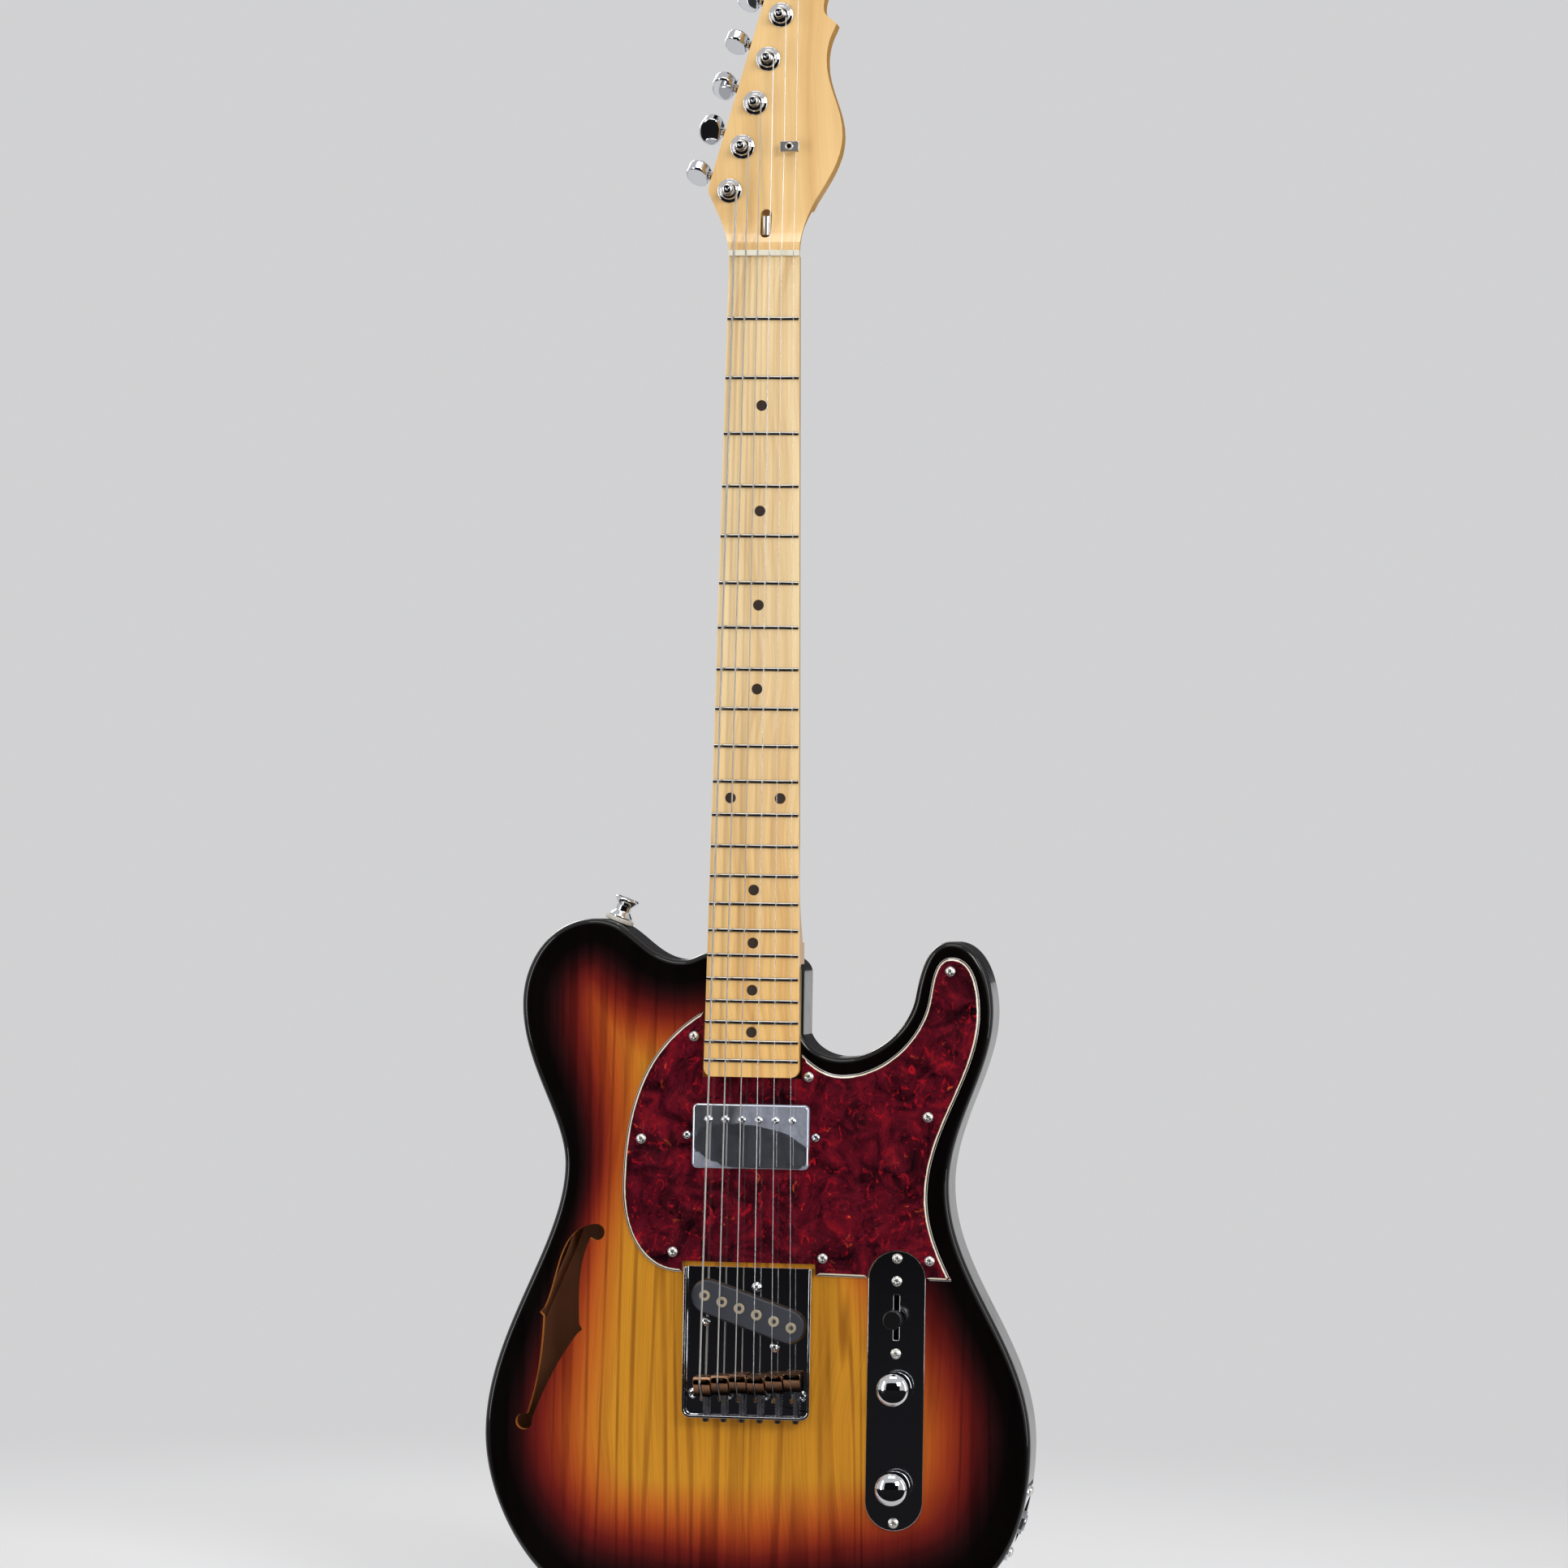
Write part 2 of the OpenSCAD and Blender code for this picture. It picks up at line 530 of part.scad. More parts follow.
module dots_at() {
    for (n = [3, 5, 7, 9, 15, 17, 19, 21])
        if (n <= fret_count)
            translate([0, 0, (fret_z(n) + fret_z(n - 1)) / 2]) children();
    for (s = [-1, 1])
        translate([s * dot_pair / 2, 0, (fret_z(12) + fret_z(11)) / 2]) children();
}
module position_dots() color("#20201f") on_crown(0) dots_at() rod(-1, 1.5, dot_d);
module frets() color("#c9cbd0") for (n = [1 : fret_count]) {
    a = asin((neck_hw(fret_z(n)) - 0.4) / board_radius);
    c = (pow(fret_w / 2, 2) + pow(fret_h, 2)) / (2 * fret_h);
    w = asin(fret_w / 2 / c);
    translate([0, board_radius, fret_z(n)]) rotate([0, 0, 270 - a]) rotate_extrude(angle = 2 * a, $fn = 360)
        polygon(concat([[board_radius, fret_w / 2], [board_radius, -fret_w / 2]],
            [for (k = [-0.67 : 0.335 : 0.68])
                [board_radius + fret_h - c + c * cos(k * w), c * sin(k * w)]]));
    on_crown(0.1) translate([0.4 - neck_hw(fret_z(n)), 0, fret_z(n) - 0.25])
        cube([2 * neck_hw(fret_z(n)) - 0.8, tang_h - 0.1, 0.5]);
}
module nut() color("#e9e4d6") difference() {
    intersection() {
        translate([-nut_w / 2, -nut_action - 1, 0]) cube([nut_w, nut_seat + nut_action + 1, nut_t]);
        translate([0, board_radius - nut_action - 0.3, -1])
            cylinder(h = nut_t + 2, r = board_radius, $fn = 720);
    }
    for (i = [0 : 5])
        translate([nut_x(i), -nut_action + crown(nut_x(i)), 0]) nut_slot(string_d(i) + 0.12);
}
module nut_slot(d) {
    translate([-d / 2, -4, -1]) cube([d, 4 + d / 2, nut_t + 2]);
}
module truss_rod() color("#8d8f94") {
    translate([0, rod_y, 40 - board_len]) cylinder(h = board_len - 30, d = rod_d);
    translate([0, rod_y, 13]) difference() {
        cylinder(h = 11, d = rod_d);
        translate([0, 0, 4]) cylinder(h = 8, d = 4.4, $fn = 6);
    }
}
module neck_plate() color("#d5d7db") at_body() translate([0, 0, (bolt_z[0] + bolt_z[1]) / 2]) difference() {
    slab(back_y, back_y + 3) rrect(2 * bolt_x + 13, bolt_z[1] - bolt_z[0] + 13, 5);
    for (x = [-bolt_x, bolt_x], z = [-1, 1])
        translate([x, 0, z * (bolt_z[1] - bolt_z[0]) / 2]) rod(back_y - 1, back_y + 4, 5);
}
module neck_bolts() color("#c4c6ca") at_body() for (x = [-bolt_x, bolt_x], z = bolt_z)
    translate([x, back_y + 3, z]) mirror([0, 1, 0]) screw(back_y + 3 - board_t - 5, 4.2, 8.6, 2.4);

// Tuners: sealed housings behind the head, each with a key worm beside the post's gear wheel
worm_gap = 7;
worm_d = 4.2;
gear_d = 2 * (worm_gap - worm_d / 2 - 0.3);
key_shaft_d = 3.2;
house_t = 10.6;
house_x0 = -11.5;
house_x1 = 9.5;
collar_x = house_x0 - 4;
key_y = head_back + 6;
post_top = -5;
wind_y = 0.4;
function wind_r(i) = post_waist_d / 2 + 0.05 + string_d(i) / 2;
function wind_p(i) = string_d(i) + 0.5;
module at_tuner(i) {
    translate([post_x(i), 0, post_z(i)]) rotate([0, head_slant, 0]) children();
}
module tuner_housings() color("#cfd2d8") for (i = [0 : 5]) at_tuner(i) difference() {
    union() {
        slab(head_back, head_back + house_t) translate([(house_x0 + house_x1) / 2, 2.2])
            rrect(house_x1 - house_x0, 19.4, 4);
        translate([0, key_y, worm_gap]) axle(collar_x, house_x0 + 1, 7);
        slab(head_back, head_back + 2.6) translate([lug[0], lug[2]]) circle(d = 6.4);
    }
    rod(head_back - 1, head_back + house_t - 1.2, post_d + 2 * run_gap);
    rod(key_y - 2.6, key_y + 2.6, gear_d + 0.8);
    translate([0, key_y, worm_gap]) axle(-7.3, 7.3, worm_d + 0.7);
    translate([0, key_y, worm_gap]) axle(collar_x - 1, 8.4, key_shaft_d + 2 * run_gap);
    translate(lug) rod(head_back - 1, head_back + 4, 2.4);
}
module tuner_bushings() color("#d5d7db") for (i = [0 : 5]) translate([post_x(i), 0, post_z(i)])
    difference() {
        union() {
            rod(head_drop - 0.5, head_back, bushing_d);
            rod(head_drop - 0.8, head_drop, bushing_nut_d);
            translate([0, head_drop - 0.8, 0]) rotate([90, 0, 0])
                cylinder(h = 1.9, d1 = 11.6, d2 = 10, $fn = 6);
        }
        rod(head_drop - 4, head_back + 1, post_d + 2 * run_gap);
    }
key_turn = [62, 38, 52, 66, 58, 47];
module tuner_key(i) color("#c9ccd2") at_tuner(i) translate([0, key_y, worm_gap]) {
    x0 = collar_x - 0.4;
    axle(x0 - 2, 8.1, key_shaft_d);
    rotate([0, 90, 0]) rotate_extrude() polygon(concat([[0, -6.9]], [for (k = [-6 : 6])
        [worm_d / 2 - (k % 2 == 0 ? 0 : 0.35), k * 1.1]], [[0, 6.9]]));
    axle(x0 - 2.4, x0, 5.4);
    rotate([key_turn[i], 0, 0]) translate([x0 - 2, 0, 0]) slab(-button_t / 2, button_t / 2)
        polygon(run([[0, -3, 270, 0.3], [-button_l * 0.42, -button_w / 2, 180, 0.4], [-button_l, 0, 90, 0.5],
            [-button_l * 0.42, button_w / 2, 0, 0.4], [0, 3, 270, 0.3], [0, -3, 270, 0.3]], 6));
}
module tuner_post(i) color("#d8dade") translate([post_x(i), 0, post_z(i)]) {
    rod(head_drop - 3.4, head_back + house_t - 1.5, post_d);
    rod(post_top, head_drop - 3, post_waist_d);
    rotate([90, 0, 0]) translate([0, 0, -post_top - 1.4]) cylinder(h = 1.4, d1 = post_d, d2 = post_d - 1.4);
    difference() {
        rod(key_y - 2.2, key_y + 2.2, gear_d);
        for (k = [0 : gear_teeth - 1])
            rotate([0, 360 / gear_teeth * k, 0]) translate([gear_d / 2 - 0.5, key_y - 3, -0.4])
                cube([2, 6, 0.8]);
    }
    p = coil(wind_turns, wind_r(i), wind_p(i), 24);
    echo(str("winding ", i + 1, " least gap ", self_gap(p, 24, string_d(i))));
    translate([0, wind_y + wind_turns * wind_p(i) / 2, 0]) rotate([90, 0, 0]) skin(tube(p, string_d(i)));
}
module tuner_key_1() { tuner_key(0); }
module tuner_key_2() { tuner_key(1); }
module tuner_key_3() { tuner_key(2); }
module tuner_key_4() { tuner_key(3); }
module tuner_key_5() { tuner_key(4); }
module tuner_key_6() { tuner_key(5); }
module tuner_post_1() { tuner_post(0); }
module tuner_post_2() { tuner_post(1); }
module tuner_post_3() { tuner_post(2); }
module tuner_post_4() { tuner_post(3); }
module tuner_post_5() { tuner_post(4); }
module tuner_post_6() { tuner_post(5); }
module head_screws() color("#b9bbc0") {
    for (i = [0 : 5]) at_tuner(i) translate(lug) translate([0, head_back + 2.6, 0])
        mirror([0, 1, 0]) screw(9, 2, 4.2, 1.5);
    translate([tree_x, tree_y - 0.8, tree_z]) screw(head_drop + 8 - tree_y, 2.4, 4.6, 1.2);
}
tree_y = 1.6;
module string_tree() color("#d5d7db") translate([tree_x, 0, tree_z]) difference() {
    union() {
        slab(tree_y - 0.8, tree_y + 0.6) rrect(11, 6, 1.2);
        rod(tree_y, head_drop, 4.4);
        for (s = [-1, 1])
            translate([s * 4.9, 0, 0]) slab(tree_y, tree_y + 1.4) square([0.9, 6], center = true);
    }
    rod(tree_y - 2, head_drop + 1, 2.6);
}

// Strings: tuner post, nut, saddle, through the body to the ferrule
function string_y(i, z) = crown(nut_x(i)) - nut_action - (saddle_action - nut_action) * z / -scale_length;
function setback(i) = saddle_setback * [1, 0.74, 0.52, 0.6, 0.3, 0.06][i];
function string_end(i) = [post_x(i) + wind_r(i) + string_d(i) + 0.5,
    wind_y + wind_turns * wind_p(i) / 2, post_z(i)];
function tree_pass(i) = i < 4 ? [] : let (p = string_end(i), f = tree_z / p[2])
    [[nut_x(i) * (1 - f) + p[0] * f, tree_y + 0.8 + string_d(i) / 2, tree_z]];
function saddle_top(i) = crown(saddle_x(i)) - saddle_action;
module strings() color("#b8b2a4") for (i = [0 : 5])
    wire(concat([string_end(i)], tree_pass(i), [[nut_x(i), crown(nut_x(i)) - nut_action, nut_t / 2],
        [saddle_x(i), saddle_top(i), -scale_length - setback(i)],
        [saddle_x(i), plate_y - 1, hole_z - scale_length],
        [saddle_x(i), back_y - 4, hole_z - scale_length]]), string_d(i));
module string_ferrules() color("#d5d7db") at_body() for (i = [0 : 5]) translate([saddle_x(i), 0, hole_z])
    difference() {
        union() {
            rod(back_y - ferrule_l, back_y, ferrule_d);
            rod(back_y, back_y + 1.2, ferrule_d + 1.8);
        }
        rod(back_y - 6, back_y + 2, 5);
        rod(back_y - ferrule_l - 1, back_y, low_string_d + 0.3);
    }

// Pickguard and neck pickup
guard_cut = 65.2;
guard_low = 58.5;
guard_left = [[-heel_x - 0.2, 210, 211, 0.36], [-75, 107, 270, 0.42],
    [-bridge_w / 2 - 2.2, guard_low + 0.4, 2, 0.4]];
guard_right = [[waist_treble + 2.8, guard_low - 1.2, 117, 0.33], [waist_treble - 12, 105.7, 90, 0.36],
    [horn_treble - guard_margin, horn_z - 42, 90, 0.33],
    [horn_treble - 23.9, horn_z - guard_margin - 1.9, 180, 0.38],
    [horn_treble - 37.2, horn_z - 35, 259, 0.35], [52, cutaway_z - 10, 180, 0.35],
    [heel_x, cutaway_z + 1.4, 137, 0.36]];
guard_pts = concat(run(guard_left, 10), [[-bridge_w / 2 - 2.2, guard_low + 0.4],
    [-bridge_w / 2 - 1.8, guard_cut], [bridge_w / 2 + 1.2, guard_cut], [bridge_w / 2 + 1.6, guard_low]],
    run(guard_right, 9),
    [[heel_x, cutaway_z + 1.4], [heel_x, neck_end - 0.6], [-heel_x - 0.2, neck_end - 0.6]]);
// The bevel runs out at the neck slot and at the bridge
guard_n = len(guard_pts);
function bevel_at(i) = i == 0 || (i > 19 && i < 24) || i > guard_n - 4 ? 0 : i == guard_n - 4 ? 0.45 : 1;
guard_in = let (q = inset(guard_pts, guard_bevel))
    [for (i = [0 : guard_n - 1]) guard_pts[i] + bevel_at(i) * (q[i] - guard_pts[i])];
module pickguard() color("#7d1f25") at_body() difference() {
    skin([at_y(guard_in, guard_y), at_y(guard_pts, guard_y + guard_bevel), at_y(guard_pts, top_y)],
        fill(guard_in), fill(guard_pts));
    slab(guard_y - 1, top_y + 1) translate([0, cover_z]) rrect(cover_w + 0.8, cover_h + 0.8, 3.4);
    for (s = [-1, 1])
        translate([s * cover_screw_x, 0, cover_z]) rod(guard_y - 1, top_y + 1, 2.6 + 0.4);
    for (p = guard_screws)
        translate([p[0], 0, p[1]]) rod(guard_y - 1, top_y + 1, 2.8 + 0.4);
    slab(guard_y - 1, top_y + 1) translate([ctrl_x, ctrl_z]) rotate(90) stadium(ctrl_l + 0.8, ctrl_w + 0.8);
}
module plate_screws() color("#c4c6ca") at_body() {
    for (p = guard_screws)
        translate([p[0], guard_y, p[1]]) screw(guard_t + 9, 2.8, 6, 1.8);
    for (s = [-1, 1])
        translate([ctrl_x, plate_y, ctrl_z + s * ctrl_screw]) screw(plate_t + 10, 2.8, 6, 1.8);
    for (s = [-1, 1])
        translate([ctrl_x, plate_y, switch_z + s * switch_hole]) screw(plate_t + 4, 3.2, 6.4, 2);
    at_rim_local(jack_p, jack_rot) for (s = [-1, 1])
        translate([jack_face, 0, s * jack_screw]) rotate([0, 0, 90]) screw(12, 2.8, 6, 1.8);
}
base_y = cover_y + cover_d;
foot_y = base_y + 4;
module neck_pickup_cover() color("#b9c2cc") at_body() translate([0, 0, cover_z]) difference() {
    slab(cover_y, base_y) rrect(cover_w, cover_h, 3);
    slab(cover_y + cover_wall, base_y + 1) rrect(cover_w - 2 * cover_wall, cover_h - 2 * cover_wall, 2.2);
    for (i = [0 : 5])
        translate([stripe[i] / 2 * pole_pitch, 0, pole_z]) rod(cover_y - 1, cover_y + 2, 5.4);
}
pole_z = 9.5;
module neck_pickup_base() color("#a9a48c") at_body() translate([0, 0, cover_z]) difference() {
    union() {
        slab(base_y - 1.3, base_y)
            rrect(cover_w - 2 * cover_wall - 0.2, cover_h - 2 * cover_wall - 0.2, 2.2);
        for (s = [-1, 1]) {
            translate([s * (cover_w / 2 - 2.4), (base_y + foot_y) / 2, 0])
                cube([1.4, foot_y - base_y + 2, 14], center = true);
            slab(foot_y, foot_y + 1.4) translate([s * (cover_screw_x - 1.2), 0])
                square([9.4, 14], center = true);
        }
    }
    for (s = [-1, 1])
        translate([s * cover_screw_x, 0, 0]) rod(foot_y - 1, foot_y + 3, 2.7);
    for (i = [0 : 5])
        translate([stripe[i] / 2 * pole_pitch, 0, pole_z]) rod(base_y - 3, base_y + 1, 3.3);
}
coil_y0 = cover_y + 1.4;
coil_y1 = base_y - 4.6;
module neck_pickup_coils() color("#6e3a22") at_body() translate([0, 0, cover_z]) for (s = [-1, 1])
    translate([0, 0, s * pole_z]) difference() {
        slab(coil_y0, coil_y1) stadium(64, 15.6);
        for (i = [0 : 5])
            translate([stripe[i] / 2 * pole_pitch, 0, 0]) rod(coil_y0 - 1, coil_y1 + 1, 5.2);
    }
module neck_pickup_poles() color("#c9cbd0") at_body() translate([0, 0, cover_z]) for (i = [0 : 5]) {
    translate([stripe[i] / 2 * pole_pitch, cover_y + 0.2, pole_z]) {
        rod(0, cover_d + 3, 3);
        rod(-0.6, 1.4, 4.9);
    }
    translate([stripe[i] / 2 * pole_pitch, 0, -pole_z]) rod(coil_y0, coil_y1, 4.9);
}
module pickup_magnets() color("#55524e") at_body() {
    translate([-30, coil_y1, cover_z - 6]) cube([60, base_y - 1.3 - coil_y1, 12]);
    slab(bpu_y + 13, bpu_y + bpu_d - 1.6) bpu_place() square([56, 12], center = true);
}
module pickup_screws() color("#c4c6ca") at_body() {
    for (s = [-1, 1])
        translate([s * cover_screw_x, guard_y, cover_z]) screw(foot_y + 8 - guard_y, 2.6, 4.8, 1.6);
    for (p = bpu_lugs)
        bpu_spot(p) translate([0, plate_y, 0]) screw(bpu_y + bpu_d + 4 - plate_y, 2.8, 5.6, 1.8);
}
module bpu_spot(p) {
    translate([0, 0, bpu_z]) rotate([0, bpu_slant, 0]) translate([p[0], 0, p[1]]) children();
}
module pickup_sleeves() color("#3a3a3a") at_body() {
    for (s = [-1, 1])
        translate([s * cover_screw_x, 0, cover_z]) difference() {
            rod(top_y, foot_y, 5);
            rod(top_y - 1, foot_y + 1, 3);
        }
    for (p = bpu_lugs)
        bpu_spot(p) difference() {
            rod(top_y, bpu_y + bpu_d - 2, 5.2);
            rod(top_y - 1, bpu_y + bpu_d, 3.2);
        }
}

// Bridge: boxed plate, six brass saddles on screws and springs
module bridge_plan(g) {
    w = bridge_w / 2 - g;
    r = 5 - g;
    translate([-w, r - bridge_back + g])
        square([2 * w, bridge_front + bridge_back - r - g + (g > 0 ? 1 : 0)]);
    translate([r - w, g - bridge_back]) square([2 * w - 2 * r, 2 * r]);
    for (s = [-1, 1])
        translate([s * (w - r), r - bridge_back + g]) circle(r);
}
module bridge_plate() color("#c3c7cd") at_body() difference() {
    slab(plate_y - wall_h, top_y) bridge_plan(0);
    slab(plate_y - wall_h - 1, plate_y) bridge_plan(1.5);
    slab(plate_y - 1, top_y + 1) bpu_place() stadium(bpu_l + 1, bpu_w + 1);
    for (p = bpu_lugs)
        bpu_spot(p) rod(plate_y - 1, top_y + 1, 3.2);
    for (i = [0 : 5]) {
        translate([saddle_x(i), 0, hole_z]) rod(plate_y - 1, top_y + 1, low_string_d + 1.6);
        translate([into_x(i), into_y, -bridge_back - 1]) cylinder(h = 4, d = into_d + 0.6);
    }
    for (x = bridge_screw_x)
        translate([x, 0, bridge_screw_z]) rod(plate_y - 1, top_y + 1, 3.8);
}
module bridge_screws() color("#b9bbc0") at_body() for (x = bridge_screw_x)
    translate([x, plate_y, bridge_screw_z]) screw(plate_t + 15, 3.4, 5.8, 1.3);
spring_r = into_d / 2 + spring_wire / 2 + 0.15;
into_off = spring_r + spring_wire / 2 + low_string_d / 2 + 0.15;
function into_x(i) = saddle_x(i) + into_off;
saddle_back = -8;
saddle_low = plate_y - 2;
// Each string drops behind the crest through a slot that follows its slope
slot_gap = 0.25;
function drop(i) = (plate_y - 1 - saddle_top(i)) / (-hole_z - setback(i));
function lean_d(i) = string_d(i) / 2 * sqrt(1 + pow(drop(i), 2));
function slot_y(i, z) = saddle_top(i) + lean_d(i) + 0.05 - drop(i) * z;
function slot_z(i) = (lean_d(i) - string_d(i) / 2 + 0.03) / drop(i);
function saddle_mid(i) = saddle_x(i) + into_off / 3;
module saddles() color("#b98a4e") at_body() for (i = [0 : 5]) {
    y = saddle_top(i) + string_d(i) / 2 + 0.02;
    translate([0, 0, -setback(i)]) difference() {
        translate([saddle_mid(i) - saddle_w / 2, 0, 0]) rotate([90, 0, 90]) linear_extrude(saddle_w)
            polygon([[saddle_low, 3.6], [y + 2.6, 3.6], [y + 0.5, 2.3], [y, 1], [y, -0.6], [y + 0.6, -1.4],
                [into_y - into_d / 2 - 0.5, saddle_back], [saddle_low, saddle_back]]);
        translate([saddle_x(i) - string_d(i) / 2 - slot_gap, 0, 0]) rotate([90, 0, 90])
            linear_extrude(string_d(i) + 2 * slot_gap) polygon([[y, slot_z(i)], [y - 3, slot_z(i)],
                [y - 3, saddle_back - 1], [slot_y(i, saddle_back - 1), saddle_back - 1]]);
        translate([into_x(i), into_y, saddle_back - 1]) cylinder(h = 10, d = into_d + 0.1);
        for (s = [-1, 1])
            translate([saddle_mid(i) + s * 3.4, 0, 1]) rod(y - 1, plate_y, 2.5);
    }
}
module saddle_height_screws() color("#9a9ca1") at_body() for (i = [0 : 5], s = [-1, 1])
    translate([saddle_mid(i) + s * 3.4, 0, 1 - setback(i)])
        rod(saddle_top(i) + string_d(i) / 2 + 0.8, plate_y, 2.4);
module intonation_screws() color("#c4c6ca") at_body() for (i = [0 : 5])
    translate([into_x(i), into_y, -bridge_back]) {
        cylinder(h = bridge_back - setback(i), d = into_d);
        translate([0, 0, -2.4]) cylinder(h = 2.4, d1 = 3, d2 = 4.4);
    }
module intonation_springs() color("#8f9197") at_body() for (i = [0 : 5]) {
    l = bridge_back - 1.5 + saddle_back - setback(i) - spring_wire - 0.2;
    p = coil(spring_turns, spring_r, l / spring_turns, 8);
    echo(str("spring ", i + 1, " least gap ", self_gap(p, 8, spring_wire)));
    translate([into_x(i), into_y, 1.6 - bridge_back + spring_wire / 2]) skin(tube(p, spring_wire));
}
module bridge_pickup_cover() color("#26272b") at_body() difference() {
    slab(bpu_y, bpu_y + bpu_d - 1.4) bpu_place() stadium(bpu_l, bpu_w);
    slab(bpu_y + 1.4, bpu_y + bpu_d) bpu_place() stadium(bpu_l - 2.4, bpu_w - 2.4);
    bpu_poles_at() rod(bpu_y - 1, bpu_y + 3, bpole_d + 0.3);
}
module bpu_poles_at() {
    for (i = [0 : 5])
        bpu_spot([saddle_x(i) * 0.965 / cos(bpu_slant), 0]) children();
}
module bridge_pickup_coil() color("#6e3a22") at_body() difference() {
    union() {
        slab(bpu_y + 1.6, bpu_y + 13) bpu_place() stadium(bpu_l - 3, bpu_w - 3);
        slab(bpu_y + bpu_d - 1.4, bpu_y + bpu_d) union() {
            bpu_place() stadium(bpu_l, bpu_w);
            bpu_lugs2d(8);
            bpu_place() for (p = bpu_lugs)
                translate([p[0], p[1] / 2]) square([8, abs(p[1])], center = true);
        }
    }
    bpu_poles_at() rod(bpu_y - 1, bpu_y + 13.5, bpole_d + 0.2);
    for (p = bpu_lugs)
        bpu_spot(p) rod(bpu_y + bpu_d - 2, bpu_y + bpu_d + 1, 3);
}
module bridge_pickup_poles() color("#c9c4b8") at_body() bpu_poles_at() difference() {
    rod(bpu_y - 0.3, bpu_y + 12.9, bpole_d);
    translate([0, bpu_y + 4, 0]) rotate([90, 0, 0]) cylinder(h = 6, d = 2.8, $fn = 6);
}

// Controls: plate, two turning knobs on pots, blade switch and side jack
module control_plate() color("#c3c7cd") at_body() difference() {
    slab(plate_y, top_y) translate([ctrl_x, ctrl_z]) rotate(90) stadium(ctrl_l, ctrl_w);
    for (z = knob_z)
        translate([ctrl_x, 0, z]) rod(plate_y - 1, top_y + 1, 9.8);
    slab(plate_y - 1, top_y + 1) translate([ctrl_x, switch_z]) square([3.2, slot_l], center = true);
    for (s = [-1, 1]) {
        translate([ctrl_x, 0, ctrl_z + s * ctrl_screw]) rod(plate_y - 1, top_y + 1, 3.2);
        translate([ctrl_x, 0, switch_z + s * switch_hole]) rod(plate_y - 1, top_y + 1, 3.5);
    }
}
lever_w = 5.6;
slot_l = 2 * ((pivot_y - plate_y) * tan(switch_swing) + lever_w / 2 / cos(switch_swing)) + 6;
knob_gap_y = plate_y - 0.8;
pot_nut = 2;
module knob(z) {
    translate([ctrl_x, 0, z]) {
        difference() {
            union() {
                rod(knob_gap_y - knob_h + 4, knob_gap_y, knob_d);
                intersection() {
                    rod(knob_gap_y - knob_h, knob_gap_y - knob_h + 4.1, knob_d);
                    translate([0, dome_r + knob_gap_y - knob_h, 0]) sphere(r = dome_r, $fn = 96);
                }
            }
            rod(knob_gap_y - pot_nut - 2, knob_gap_y + 1, 15);
        }
        rod(knob_gap_y - knob_h + 5, top_y + 6, pot_shaft_d);
    }
}
dome_r = (pow(knob_d / 2, 2) + 16) / 8;
module volume_knob() color("#d2d5da") at_body() knob(knob_z[0]);
module tone_knob() color("#d2d5da") at_body() knob(knob_z[1]);
module potentiometers() color("#a7a9ad") at_body() for (z = knob_z) translate([ctrl_x, 0, z]) difference() {
    union() {
        rod(top_y, top_y + 9, pot_d);
        rod(plate_y - pot_nut, top_y + 1, 9.4);
        translate([0, plate_y, 0]) rotate([90, 0, 0]) cylinder(h = pot_nut, d = 12.6, $fn = 6);
        translate([-5, top_y + 3, -13]) cube([10, 1, 6]);
    }
    rod(plate_y - pot_nut - 1, top_y + 6.2, pot_shaft_d + 2 * run_gap);
}
module selector_switch() color("#8f8a72") at_body() translate([ctrl_x, 0, switch_z]) difference() {
    union() {
        translate([-5, top_y, -switch_hole - 4]) cube([10, 1.2, 2 * switch_hole + 8]);
        for (s = [-1, 1])
            translate([s * 3.4 - 0.5, top_y + 1, -13]) cube([1, pivot_y - top_y + 4, 26]);
        translate([0, pivot_y, 0]) axle(-3.4, 3.4, 3);
        translate([2.9, top_y + 6, -18]) cube([6, 16, 36]);
    }
    translate([-2, top_y - 1, -slot_l / 2]) cube([4, 4, slot_l]);
    for (s = [-1, 1])
        translate([0, 0, s * switch_hole]) rod(top_y - 1, top_y + 2, 3.4);
}
tip_y = plate_y - 11.5;
tip_l = 10;
module switch_lever() color("#b9bbc0") at_body() translate([ctrl_x, 0, switch_z]) difference() {
    union() {
        translate([-0.7, tip_y - tip_l + 2, -lever_w / 2])
            cube([1.4, pivot_y - tip_y + tip_l - 2, lever_w]);
        translate([0, pivot_y, 0]) axle(-0.7, 0.7, 8);
        translate([0, pivot_y, 0]) axle(-2.5, 2.5, 6.4);
    }
    translate([0, pivot_y, 0]) axle(-3, 3, 3 + 2 * run_gap);
}
module switch_tip() color("#17181a") at_body() translate([ctrl_x, 0, switch_z]) difference() {
    union() {
        rod(tip_y - tip_l, tip_y, tip_d);
        translate([0, tip_y, 0]) rotate([-90, 0, 0]) cylinder(h = 1.5, d1 = tip_d, d2 = tip_d - 3);
    }
    translate([-0.75, tip_y - tip_l + 1.9, -lever_w / 2 - 0.05]) cube([1.5, tip_l + 1, lever_w + 0.1]);
}
jack_face = 1.6 - jack_flat;
module jack_plate() color("#cfd2d8") at_rim(jack_p, jack_rot) difference() {
    translate([-jack_flat, 0, 0]) rotate([90, 0, 90])
        linear_extrude(1.6) rrect(26, 2 * jack_screw + 8.8, 6);
    axle(-10, 10, 9.8);
    for (s = [-1, 1])
        translate([0, 0, s * jack_screw]) axle(-10, 10, 3.2);
}
